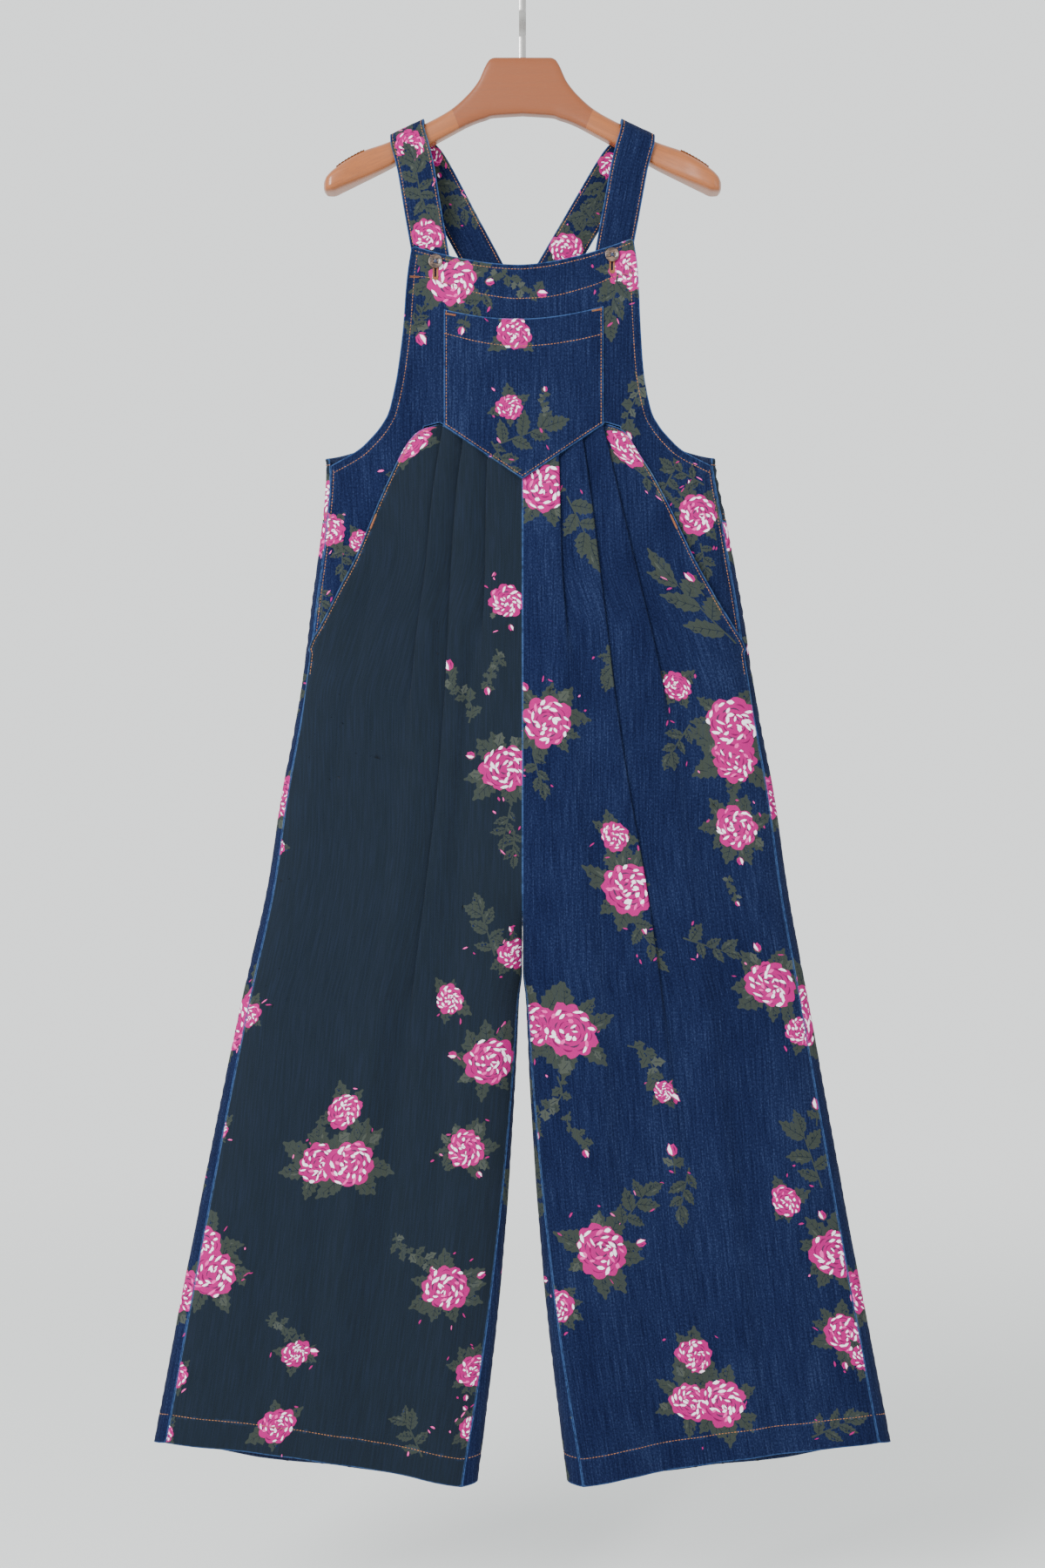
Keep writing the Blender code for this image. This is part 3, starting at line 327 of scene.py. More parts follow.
    @staticmethod
    def folds(x: np.ndarray, z: np.ndarray, table: Table) -> np.ndarray:
        """Return the height at a place of the soft folds of a table."""
        height = np.zeros(np.broadcast(x, z).shape)
        for top_x, top_z, bottom_x, bottom_z, width, crest in table:
            along = (z / MM - top_z) / (bottom_z - top_z)
            middle = top_x + (bottom_x - top_x) * along
            across = np.exp(-((x / MM - middle) / width) ** 2)
            height = height + crest * MM * across * ease(along, 0.0, 0.35) * ease(along, 1.6, 1.0)
        return height

    def front_y(self, x: np.ndarray, z: np.ndarray) -> np.ndarray:
        """Return the y of the front surface."""
        form = self.front_depth(z) + self.folds(x, z, self.front_folds)
        return -(form + self.folds(x, z, self.front_creases)) * self.fullness(x, z)

    def back_y(self, x: np.ndarray, z: np.ndarray) -> np.ndarray:
        """Return the y of the back surface."""
        form = self.back_depth(z) + self.folds(x, z, self.back_folds)
        return form * self.fullness(x, z)

    def leaned(self, points: np.ndarray) -> np.ndarray:
        """Return points of the garment with its sides leaning over."""
        x, z = points[..., 0], points[..., 2]
        shift = self.lean(z) * (x / self.half_width(z)) ** 2
        shift = shift - self.sway(z) * ease(np.abs(x), self.sway_from, self.sway_full)
        return points + np.stack([shift, np.zeros_like(shift), np.zeros_like(shift)], axis=-1)

    def on_front(self, x: np.ndarray, z: np.ndarray, out: np.ndarray | float) -> np.ndarray:
        """Return points of the front surface, moved out along its normal."""
        step = 0.5 * MM
        slope_x = (self.front_y(x + step, z) - self.front_y(x - step, z)) / (2 * step)
        slope_z = (self.front_y(x, z + step) - self.front_y(x, z - step)) / (2 * step)
        normal = unit(np.stack([slope_x, -np.ones_like(slope_x), slope_z], axis=-1))
        points = np.stack([x, self.front_y(x, z), z], axis=-1)
        return self.leaned(points + normal * (np.zeros_like(x) + out)[..., None])


# ================================================================ meshes
def collect(name: str, points: np.ndarray, faces: Sequence[Sequence[int]],
            materials: Sequence[bpy.types.Material]) -> bpy.types.Object:
    """Make a mesh object in the scene, shaded smooth.

    Args:
        name: the piece's name.
        points: its vertices, in metres.
        faces: vertex numbers of each face, turning to the left seen from outside.
        materials: the material of each slot.

    Returns:
        The new object.
    """
    mesh = bpy.data.meshes.new(name)
    mesh.from_pydata(np.asarray(points, float).tolist(), [], [tuple(face) for face in faces])
    for material in materials:
        mesh.materials.append(material)
    mesh.shade_smooth()
    piece = bpy.data.objects.new(name, mesh)
    bpy.context.scene.collection.objects.link(piece)
    return piece


def loft(rings: Sequence[np.ndarray], closed: bool = False) -> tuple[np.ndarray, list]:
    """Join rings of points, with caps on the ends unless the row of rings is closed.

    Args:
        rings: the rings, each with as many points, turning the same way.
        closed: whether the last ring meets the first.

    Returns:
        The points and the faces.
    """
    size = len(rings[0])
    faces = []
    for ring in range(len(rings) if closed else len(rings) - 1):
        following = (ring + 1) % len(rings)
        for step in range(size):
            a, b = ring * size + step, ring * size + (step + 1) % size
            c, d = following * size + (step + 1) % size, following * size + step
            faces.append((a, b, c, d))
    if not closed:
        faces.append(tuple(reversed(range(size))))
        faces.append(tuple(range((len(rings) - 1) * size, len(rings) * size)))
    return np.vstack(rings), faces


def outward(piece: bpy.types.Object, sharp: float = 35.0) -> bpy.types.Object:
    """Turn a closed piece's faces outwards and mark its corners sharper than an angle."""
    work = bmesh.new()
    work.from_mesh(piece.data)
    bmesh.ops.recalc_face_normals(work, faces=work.faces)
    work.to_mesh(piece.data)
    work.free()
    piece.data.shade_smooth()
    piece.data.set_sharp_from_angle(angle=math.radians(sharp))
    return piece


def tube(path: np.ndarray, radius: float, sides: int = 6) -> tuple[np.ndarray, list]:
    """Return the points and faces of a round thread along a path."""
    ahead = unit(np.gradient(path, axis=0))
    side = unit(np.cross(ahead, (0.13, 0.21, 0.97)))
    up = np.cross(ahead, side)
    turns = np.linspace(0, 2 * math.pi, sides, endpoint=False)
    rings = [centre + radius * (np.cos(turns)[:, None] * s + np.sin(turns)[:, None] * u)
             for centre, s, u in zip(path, side, up)]
    return loft(rings)


def joined(parts: Sequence[tuple[np.ndarray, list]]) -> tuple[np.ndarray, list]:
    """Return several meshes' points and faces as one."""
    points, faces, first = [], [], 0
    for part_points, part_faces in parts:
        points.append(part_points)
        faces += [tuple(first + i for i in face) for face in part_faces]
        first += len(part_points)
    return np.vstack(points), faces


# ================================================================ cloth, cut flat and then laid
class Ink(Enum):
    """The colours that are printed on the denim, as sRGB hex."""

    BARE = "#000000"            # a gap that shows the denim
    LEAF = "#30362f"
    LEAF_PALE = "#3f443c"
    VEIN = "#141c24"
    ROSE = "#a01666"
    ROSE_DEEP = "#6c1147"
    MAUVE = "#4a2944"
    WHITE = "#f9ebf9"
    BLUSH = "#db4b99"


Shape = tuple[np.ndarray, Ink]


def linear(colour: str) -> tuple[float, float, float, float]:
    """Return an sRGB hex colour as linear red, green, blue and 1."""
    parts = [int(colour[i:i + 2], 16) / 255 for i in (1, 3, 5)]
    low = [part / 12.92 if part <= 0.04045 else ((part + 0.055) / 1.055) ** 2.4 for part in parts]
    return (*low, 1.0)


def signed_area(loop: np.ndarray) -> float:
    """Return the area within a loop, negative where it turns right."""
    x, z = loop.T
    return float(np.sum(x * np.roll(z, -1) - np.roll(x, -1) * z)) / 2


@dataclass
class Wall:
    """One side of a piece of cloth, triangulated flat."""

    flat: np.ndarray
    triangles: np.ndarray
    topmost: np.ndarray         # for each triangle the print's topmost shape, -1 where bare


def lattice(outline: np.ndarray, cell: float) -> np.ndarray:
    """Return a triangular lattice of points over an outline's box."""
    low, high = outline.min(axis=0), outline.max(axis=0)
    rows = []
    for row, z in enumerate(np.arange(low[1], high[1], cell * math.sqrt(3) / 2)):
        x = np.arange(low[0] + (row % 2) * cell / 2, high[0], cell)
        rows.append(np.stack([x, np.full(len(x), z)], axis=1))
    return np.vstack(rows)


def cut_flat(loops: Sequence[np.ndarray], links: Sequence[tuple[int, int]], points: np.ndarray,
             shapes: Sequence[Shape]) -> Wall:
    """Cut cloth into triangles along its edges, its fold lines and the print's shapes.

    Args:
        loops: the outline, then the outlines of its holes.
        links: pairs of points that are joined by an edge.
        points: the points.
        shapes: the print's shapes, in paint order.

    Returns:
        The triangulated cloth inside the outline. The given points keep their numbers.
    """
    flat = [points]
    faces, first = [], len(points)
    for shape, _ in shapes:
        # a face that turns right would count as everything outside it
        flat.append(shape if signed_area(shape) > 0 else shape[::-1])
        faces.append(list(range(first, first + len(shape))))
        first += len(shape)
    vectors = [Vector(point) for point in np.vstack(flat)]
    found, _, triangles, origin, _, covers = delaunay_2d_cdt(vectors, list(links), faces, 0, 1e-7, True)
    found = np.array([tuple(point) for point in found])
    triangles = np.array(triangles)
    topmost = np.array([max(cover) if cover else -1 for cover in covers])
    middles = found[triangles].mean(axis=1)
    keep = np.concatenate([inside(part, loops[0]) for part in np.array_split(middles, 12)])
    for hole in loops[1:]:
        keep &= ~inside(middles, hole)
    area = np.cross(found[triangles[:, 1]] - found[triangles[:, 0]],
                    found[triangles[:, 2]] - found[triangles[:, 0]])
    keep &= np.abs(area) > 1e-12
    triangles = np.where((area < 0)[:, None], triangles[:, ::-1], triangles)[keep]
    number = np.full(len(found), -1)
    for new, sources in enumerate(origin):
        own = [source for source in sources if source < len(points)]
        if own:
            number[new] = min(own)
    free = np.flatnonzero(number < 0)
    number[free] = len(points) + np.arange(len(free))
    merged = np.zeros((len(points) + len(free), 2))
    merged[:len(points)] = points
    merged[number] = found
    return Wall(merged, number[triangles], topmost[keep])


def border(triangles: np.ndarray) -> list[tuple[int, int]]:
    """Return the edges that only one triangle has, turning as it does."""
    sides = np.concatenate([triangles[:, [0, 1]], triangles[:, [1, 2]], triangles[:, [2, 0]]])
    found = {(int(a), int(b)) for a, b in sides}
    return [edge for edge in found if (edge[1], edge[0]) not in found]


def vertex_normals(points: np.ndarray, triangles: np.ndarray) -> np.ndarray:
    """Return the normal at each point, each triangle weighted by its corner's angle."""
    corners = points[triangles]
    normal = unit(np.cross(corners[:, 1] - corners[:, 0], corners[:, 2] - corners[:, 0]))
    total = np.zeros_like(points)
    for corner in range(3):
        ahead = unit(corners[:, (corner + 1) % 3] - corners[:, corner])
        behind = unit(corners[:, (corner + 2) % 3] - corners[:, corner])
        angle = np.arccos(np.clip(np.sum(ahead * behind, axis=1), -1, 1))
        np.add.at(total, triangles[:, corner], normal * angle[:, None])
    return unit(total)


@dataclass
class Panel:
    """One piece of cloth: its flat cut, its print, and the surface on which it lies."""

    name: str
    outline: np.ndarray
    surface: Callable[[np.ndarray], np.ndarray]
    holes: list[np.ndarray] = field(default_factory=list)
    rails: list[np.ndarray] = field(default_factory=list)     # fold lines that its edges follow
    stitches: list[np.ndarray] = field(default_factory=list)
    shapes: list[Shape] = field(default_factory=list)
    inner_shapes: list[Shape] = field(default_factory=list)
    cell: float = 8 * MM
    inner_cell: float = 16 * MM
    thickness: float = DENIM
    mirrored: bool = False          # whether its flat side faces the other way in space
    edge_band: float = 3.5 * MM     # the worn edge's width
    groove_depth: float = 0.35 * MM     # how far a line of stitches draws the cloth in
    groove_half: float = 2.4 * MM
    pucker: float = 0.22 * MM       # the small waves that stitches leave beside them
    pucker_pitch: float = 9 * MM

    @property
    def area(self) -> float:
        """Return the flat cut's area in square metres."""
        return abs(signed_area(self.outline)) - sum(abs(signed_area(hole)) for hole in self.holes)

    def rail_points(self, lines: Sequence[np.ndarray],
                    spacing: float) -> tuple[np.ndarray, list[tuple[int, int]]]:
        """Return the lines' points clear of the outline, and the links between neighbours."""
        points, links, first = [], [], 0
        for line in lines:
            line = spaced(line, spacing)
            keep = inside(line, self.outline) & (distance_to(line, self.outline, True) > 0.5 * MM)
            for hole in self.holes:
                keep &= ~inside(line, hole) & (distance_to(line, hole, True) > 0.5 * MM)
            number = np.cumsum(keep) - 1 + first
            links += [(int(a), int(b)) for a, b, here, there
                      in zip(number, number[1:], keep, keep[1:]) if here and there]
            points.append(line[keep])
            first += int(keep.sum())
        return (np.vstack(points) if points else np.zeros((0, 2))), links

    def triangulate(self, loops: Sequence[np.ndarray], lines: Sequence[np.ndarray], cell: float,
                    shapes: Sequence[Shape], spacing: float) -> Wall:
        """Triangulate the panel with its loops as edges and lines as folds."""
        railed, links = self.rail_points(lines, spacing)
        first = sum(len(loop) for loop in loops)
        links = [(a + first, b + first) for a, b in links]
        start = 0
        for loop in loops:
            links += [(start + i, start + (i + 1) % len(loop)) for i in range(len(loop))]
            start += len(loop)
        inner = lattice(self.outline, cell)
        keep = inside(inner, self.outline) & (distance_to(inner, self.outline, True) > cell * 0.45)
        for hole in self.holes:
            keep &= ~inside(inner, hole) & (distance_to(inner, hole, True) > cell * 0.3)
        inner = inner[keep]
        if len(railed):
            tree = KDTree(len(railed))
            for number, (x, z) in enumerate(railed):
                tree.insert((x, z, 0), number)
            tree.balance()
            clear = [tree.find((x, z, 0))[2] > cell * 0.3 for x, z in inner]
            inner = inner[np.array(clear)]
        points = np.vstack([*loops, railed, inner])
        return cut_flat(loops, links, points, shapes)

    def from_stitches(self, flat: np.ndarray) -> np.ndarray:
        """Return the distance of flat points to the nearest line of stitches."""
        if not self.stitches:
            return np.full(len(flat), self.inner_cell * 4)
        return np.min([distance_to(flat, line, False) for line in self.stitches], axis=0)

    def relief(self, flat: np.ndarray, away: np.ndarray) -> np.ndarray:
        """Return how far the stitches, at distances away, push the cloth in or out."""
        wave = np.sin(2 * math.pi * (flat[:, 0] + flat[:, 1]) / self.pucker_pitch)
        wave = wave + 0.6 * np.sin(2 * math.pi * (flat[:, 0] - flat[:, 1]) / self.pucker_pitch / 1.7)
        near = np.exp(-(away / (2.2 * self.groove_half)) ** 2)
        return -self.groove_depth * np.exp(-(away / self.groove_half) ** 2) + self.pucker * wave * near

    def build(self, materials: Sequence[bpy.types.Material]) -> bpy.types.Object:
        """Make the panel as a closed wall of cloth.

        Args:
            materials: the right side's and the wrong side's material.

        Returns:
            The piece, with the print as a corner colour, the flat cut as a UV map and the
            distances to its edges and to its stitches as vertex attributes.
        """
        loops = [self.outline, *self.holes]
        bands = [beside(np.vstack([loop, loop[:1]]), side * step)
                 for loop in loops for step in (1.4 * MM, self.edge_band) for side in (1, -1)]
        grooves = [beside(line, side * self.groove_half) for line in self.stitches for side in (-1, 1)]
        lines = [*self.rails, *self.stitches, *grooves, *bands]
        outer = self.triangulate(loops, lines, self.cell, self.shapes, 5 * MM)
        rim = border(outer.triangles)
        order = sorted({i for edge in rim for i in edge})
        place_of = {old: new for new, old in enumerate(order)}
        links = [(place_of[a], place_of[b]) for a, b in rim]
        railed, rail_links = self.rail_points(self.rails, 7 * MM)
        rail_links = [(a + len(order), b + len(order)) for a, b in rail_links]
        coarse = lattice(self.outline, self.inner_cell)
        keep = inside(coarse, self.outline)
        keep &= distance_to(coarse, self.outline, True) > self.inner_cell * 0.4
        for hole in self.holes:
            keep &= ~inside(coarse, hole) & (distance_to(coarse, hole, True) > 2 * MM)
        inner_points = np.vstack([outer.flat[order], railed, coarse[keep]])
        inner = cut_flat(loops, links + rail_links, inner_points, self.inner_shapes)
        return self.assemble(outer, inner, rim, place_of, materials)

    def assemble(self, outer: Wall, inner: Wall, rim: list[tuple[int, int]],
                 place_of: dict[int, int], materials: Sequence[bpy.types.Material]) -> bpy.types.Object:
        """Lay both sides in space and close them round their edge."""
        turn = -1 if self.mirrored else 1
        half = self.thickness / 2
        middle = self.surface(outer.flat)
        normal = vertex_normals(middle, outer.triangles) * turn
        seams = [self.from_stitches(wall.flat) for wall in (outer, inner)]
        relief = self.relief(outer.flat, seams[0])
        outer_points = middle + normal * (half + relief)[:, None]
        middle = self.surface(inner.flat)
        normal = vertex_normals(middle, inner.triangles) * turn
        inner_points = middle - normal * half
        first = len(outer.flat)
        rim_faces = [(b, a, first + place_of[a], first + place_of[b]) for a, b in rim]
        faces = [tuple(t) for t in outer.triangles[:, ::turn]]
        faces += [tuple(first + i for i in t) for t in inner.triangles[:, ::-turn]]
        faces += [face[::turn] for face in rim_faces]
        piece = collect(self.name, np.vstack([outer_points, inner_points]), faces, materials)
        mesh = piece.data
        flats = np.vstack([outer.flat, inner.flat])
        self.write_attributes(mesh, outer, inner, flats, np.concatenate(seams))
        work = bmesh.new()
        work.from_mesh(mesh)
        loose = [vertex for vertex in work.verts if not vertex.link_faces]
        bmesh.ops.delete(work, geom=loose, context="VERTS")
        work.to_mesh(mesh)
        work.free()
        log.info("%s: %d triangles", self.name, len(outer.triangles) + len(inner.triangles))
        return piece

    def write_attributes(self, mesh: bpy.types.Mesh, outer: Wall, inner: Wall,
                         flats: np.ndarray, seam: np.ndarray) -> None:
        """Write the print, the flat cut and the distances to edges and stitches."""
        sides = len(outer.triangles) + len(inner.triangles)
        slot = np.ones(len(mesh.polygons), int)
        slot[:len(outer.triangles)] = 0
        mesh.polygons.foreach_set("material_index", slot)
        smooth = np.ones(len(mesh.polygons), bool)
        smooth[sides:] = False
        mesh.polygons.foreach_set("use_smooth", smooth)
        inks = {ink: np.array(linear(ink.value)) for ink in Ink}
        inks[Ink.BARE] = np.zeros(4)
        colours = np.zeros((len(mesh.polygons), 4))
        for wall, shapes, start in ((outer, self.shapes, 0),
                                    (inner, self.inner_shapes, len(outer.triangles))):
            for number, top in enumerate(wall.topmost):
                if top >= 0:
                    colours[start + number] = inks[shapes[top][1]]
        totals = np.zeros(len(mesh.polygons), int)
        mesh.polygons.foreach_get("loop_total", totals)
        dye = mesh.color_attributes.new("ink", "FLOAT_COLOR", "CORNER")
        dye.data.foreach_set("color", np.repeat(colours, totals, axis=0).ravel())
        vertex_of = np.zeros(len(mesh.loops), int)
        mesh.loops.foreach_get("vertex_index", vertex_of)
        cut = mesh.uv_layers.new(name="cut")
        cut.data.foreach_set("uv", flats[vertex_of].ravel())
        edge = np.min([distance_to(flats, loop, True) for loop in [self.outline, *self.holes]], axis=0)
        for label, values in (("edge", edge), ("seam", seam)):
            attribute = mesh.attributes.new(label, "FLOAT", "POINT")
            attribute.data.foreach_set("value", values)

    def on_surface(self, line: np.ndarray, out: float) -> np.ndarray:
        """Return a flat line laid in space, at a distance out from the cloth's middle."""
        step = 0.3 * MM
        turn = -1 if self.mirrored else 1
        across = self.surface(line + (step, 0)) - self.surface(line - (step, 0))
        up = self.surface(line + (0, step)) - self.surface(line - (0, step))
        return self.surface(line) + unit(np.cross(across, up)) * turn * out


# ================================================================ the bib and its pocket
@dataclass
class Bib:
    """The bib with its keyhole buttonholes, and the patch pocket that lies on it."""

    drape: Drape
    top_z: float = -305.5 * MM
    top_half: float = 117 * MM
    top_rise: float = 24.5 * MM
    top_power: float = 1.7
    tilt: float = 4 * MM
    tilt_end: float = -440 * MM
    v_tip: float = -530 * MM
    v_corner: tuple[float, float] = (86.9 * MM, -471.6 * MM)
    armhole: Table = (
        (117, -284), (120.5, -308), (122.5, -331), (125, -373), (129, -415), (133, -439),
        (138.3, -461), (144, -472), (149.5, -480), (156.6, -488), (166, -497.5), (175.5, -504),
        (188, -510.5), (200, -516))
    facing: Table = (
        (106, -489), (118, -520), (136, -565), (150, -612), (168, -662), (190, -706), (212, -722))
    facing_end: float = -727 * MM
    facing_start: float = 103 * MM
    hip_seam_slope: float = 0.28
    eye_radius: float = 2.1 * MM
    slot_half: float = 1.0 * MM
    slot_drop: float = 16.5 * MM
    pocket_left: float = -82.5 * MM
    pocket_right: float = 85 * MM
    pocket_left_z: float = -353 * MM
    pocket_right_z: float = -349.5 * MM
    pocket_sag: float = 11.5 * MM
    pocket_lap: float = 1.0 * MM

    def v_seam(self, x: np.ndarray) -> np.ndarray:
        """Return the z of the V seam."""
        return self.v_tip + (self.v_corner[1] - self.v_tip) * np.abs(x) / self.v_corner[0]

    def top_edge(self, x: np.ndarray) -> np.ndarray:
        """Return the z of the curved top edge."""
        z = self.top_z + self.top_rise * np.abs(x / self.top_half) ** self.top_power
        return z + self.tilt * x / self.top_half

    def outline(self) -> np.ndarray:
        """Return the bib's flat outline, turning left from the top edge's right end."""
        armhole = through(np.array(self.armhole) * MM, 64)
        side_z = np.linspace(armhole[-1][1], self.facing_end, 50)[1:]
        side = np.stack([self.drape.side_seam(side_z), side_z], axis=1)
        facing = through(np.array(self.facing) * MM, 40)[::-1]
        v_x = np.concatenate([[self.facing_start], np.linspace(self.v_corner[0], 3 * MM, 18)])
        seam_z = np.where(v_x > self.v_corner[0],
                          self.v_corner[1] - (v_x - self.v_corner[0]) * self.hip_seam_slope,
                          self.v_seam(v_x))
        right = np.vstack([armhole, side, facing, np.stack([v_x, seam_z], axis=1)])
        left = right[::-1] * (-1, 1)
        top_x = np.linspace(-self.top_half, self.top_half, 61)[1:-1]
        top_z = self.top_z + self.top_rise * np.abs(top_x / self.top_half) ** self.top_power
        outline = np.vstack([np.stack([top_x, top_z], axis=1), right, [[0, self.v_tip]], left])
        share = ease(outline[:, 1], self.tilt_end, -300 * MM)
        outline[:, 1] += self.tilt * outline[:, 0] / self.top_half * share
        return outline[::-1]

    def buttonhole(self, centre: tuple[float, float], grow: float = 0.0) -> np.ndarray:
        """Return a keyhole's outline: a round eye at the button and a slot below it."""
        x, z = centre
        radius, half = self.eye_radius + grow, self.slot_half + grow
        meet = math.asin(half / radius)
        turn = np.linspace(-math.pi / 2 + meet, 1.5 * math.pi - meet, 17)
        eye = np.stack([x + radius * np.cos(turn), z + radius * np.sin(turn)], axis=1)
        foot = z - self.slot_drop - grow
        return np.vstack([eye, [(x - half, foot), (x + half, foot)]])

    def pocket_top(self, x: np.ndarray) -> np.ndarray:
        """Return the z of the pocket's sagging top edge."""
        share = (x - self.pocket_left) / (self.pocket_right - self.pocket_left)
        straight = self.pocket_left_z + (self.pocket_right_z - self.pocket_left_z) * share
        return straight - self.pocket_sag * 4 * share * (1 - share)

    def pocket_outline(self) -> np.ndarray:
        """Return the patch pocket's outline, turning left from its right corner."""
        x = np.linspace(self.pocket_right, self.pocket_left, 36)
        top = np.stack([x, self.pocket_top(x)], axis=1)
        left_z = np.linspace(self.pocket_left_z, self.v_seam(self.pocket_left) - self.pocket_lap, 22)
        left = np.stack([np.full(20, self.pocket_left), left_z[1:-1]], axis=1)
        bottom_x = np.concatenate([np.linspace(self.pocket_left, 0, 20),
                                   np.linspace(0, self.pocket_right, 20)[1:]])
        bottom = np.stack([bottom_x, self.v_seam(bottom_x) - self.pocket_lap], axis=1)
        right_z = np.linspace(self.v_seam(self.pocket_right) - self.pocket_lap,
                              self.pocket_right_z, 22)
        right = np.stack([np.full(20, self.pocket_right), right_z[1:-1]], axis=1)
        return np.vstack([top, left, bottom, right])

    def surface(self, out: float) -> Callable[[np.ndarray], np.ndarray]:
        """Return the surface at a distance out from the front."""
        return lambda flat: self.drape.on_front(flat[:, 0], flat[:, 1], out)


# ================================================================ the print
class Motif(Enum):
    """What a place of the print shows."""

    DOUBLE = "two full roses among leaves"
    SINGLE = "one full rose among leaves"
    SMALL = "a small rose with a few leaves"
    LEAVES = "a spray of leaves"
    VINE = "a thin hanging vine"
    BUD = "a rosebud on its stem"


class Florist:
    """Draws the print's flowers and leaves from a seed, in metres about each motif's middle."""

    def __init__(self, seed: int) -> None:
        """Start a drawing."""
        self.rng = np.random.default_rng(seed)
        self.shapes: list[Shape] = []

    def vary(self, low: float, high: float) -> float:
        """Return a number between two others."""
        return float(self.rng.uniform(low, high))

    def lay(self, points: np.ndarray, ink: Ink, middle: Sequence[float], turn: float) -> None:
        """Add a shape, turned about the origin and moved."""
        c, s = math.cos(turn), math.sin(turn)
        turned = points @ np.array([(c, s), (-s, c)])
        self.shapes.append((turned + np.asarray(middle), ink))

    def almond(self, middle: Sequence[float], turn: float, length: float, width: float,
               ink: Ink) -> None:
        """Add an almond that starts at a place and points along its turn."""
        one, other = self.vary(0.7, 1.0), self.vary(0.4, 0.9)
        share = np.array([(0, 0), (0.3, -0.5 * one), (0.72, -0.42 * one), (1, self.vary(-0.2, 0.2)),
                          (0.66, 0.45 * other), (0.28, 0.4 * other)])
        self.lay(share * (length, width), ink, middle, turn)

    def rose(self, middle: Sequence[float], radius: float) -> None:
        """Add a full rose: notched petals in rings, white rims and mauve shadows."""
        middle = np.asarray(middle, float)
        lobes = int(self.rng.integers(8, 12))
        turn = np.linspace(0, 2 * math.pi, lobes * 6, endpoint=False)
        phase = self.vary(0, 6)
        lobe = np.abs(np.sin(lobes / 2 * turn + phase)) ** 0.6
        wobble = 1 + 0.06 * np.sin(2 * turn + phase) + 0.05 * np.sin(3 * turn - phase)
        wobble = wobble + self.rng.uniform(-0.03, 0.03, len(turn))
        edge = radius * (0.82 + 0.18 * lobe) * wobble
        self.lay(np.stack([edge * np.cos(turn), edge * np.sin(turn)], axis=1), Ink.ROSE, middle, 0)
        for reach, count, ink in ((0.80, 9, Ink.ROSE_DEEP), (0.6, 8, Ink.MAUVE),
                                  (0.42, 6, Ink.ROSE_DEEP), (0.24, 4, Ink.MAUVE)):
            start = self.vary(0, 6)
            for petal in range(count):
                centre = start + 2 * math.pi * (petal + self.vary(-0.15, 0.15)) / count
                self.crescent(middle, centre, reach * radius * self.vary(0.93, 1.07),
                              math.pi / count * self.vary(0.7, 1.0), radius * self.vary(0.035, 0.08), ink)
        for reach, count, size in ((0.93, 15, 0.26), (0.66, 11, 0.24), (0.40, 7, 0.2)):
            start = self.vary(0, 6)
            for streak in range(count):
                if self.vary(0, 1) < 0.18:
                    continue
                angle = start + 2 * math.pi * (streak + self.vary(-0.3, 0.3)) / count
                place = middle + reach * radius * self.vary(0.85, 1.0) * np.array(
                    [math.cos(angle), math.sin(angle)])
                ink = Ink.WHITE if self.vary(0, 1) < 0.78 else Ink.BLUSH
                self.almond(place, angle + math.pi * self.vary(0.55, 0.95),
                            radius * size * self.vary(0.9, 1.6), radius * self.vary(0.11, 0.21), ink)
        for _ in range(3):
            angle = self.vary(0, 6.3)
            self.almond(middle + radius * 0.08 * np.array([math.cos(angle), math.sin(angle)]), angle,
                        radius * 0.22, radius * 0.09, Ink.WHITE)

    def crescent(self, middle: np.ndarray, angle: float, reach: float, half: float, thick: float,
                 ink: Ink) -> None:
        """Add the shadow under a petal's rim: a thin crescent round the rose's middle."""
        share = np.linspace(-1, 1, 6)
        outer = reach * (0.9 + 0.1 * np.cos(share * math.pi / 2))
        inner = outer - thick * np.cos(share * math.pi / 2)
        turn = angle + share * half
        rim = np.stack([outer * np.cos(turn), outer * np.sin(turn)], axis=1)
        back = np.stack([inner * np.cos(turn), inner * np.sin(turn)], axis=1)[::-1][1:-1]
        self.lay(np.vstack([rim, back]), ink, middle, 0)

    def leaf(self, base: Sequence[float], turn: float, length: float) -> None:
        """Add a broad serrated leaf with dark veins, strokes and small gaps."""
        teeth = 5 if length > 18 * MM else 4
        half = length * self.vary(0.24, 0.31)
        bend = self.vary(-0.16, 0.16) * length

        def shaped(points: np.ndarray) -> np.ndarray:
            """Bend the leaf sideways."""
            return points + np.stack([np.zeros(len(points)), bend * (points[:, 0] / length) ** 2], axis=1)

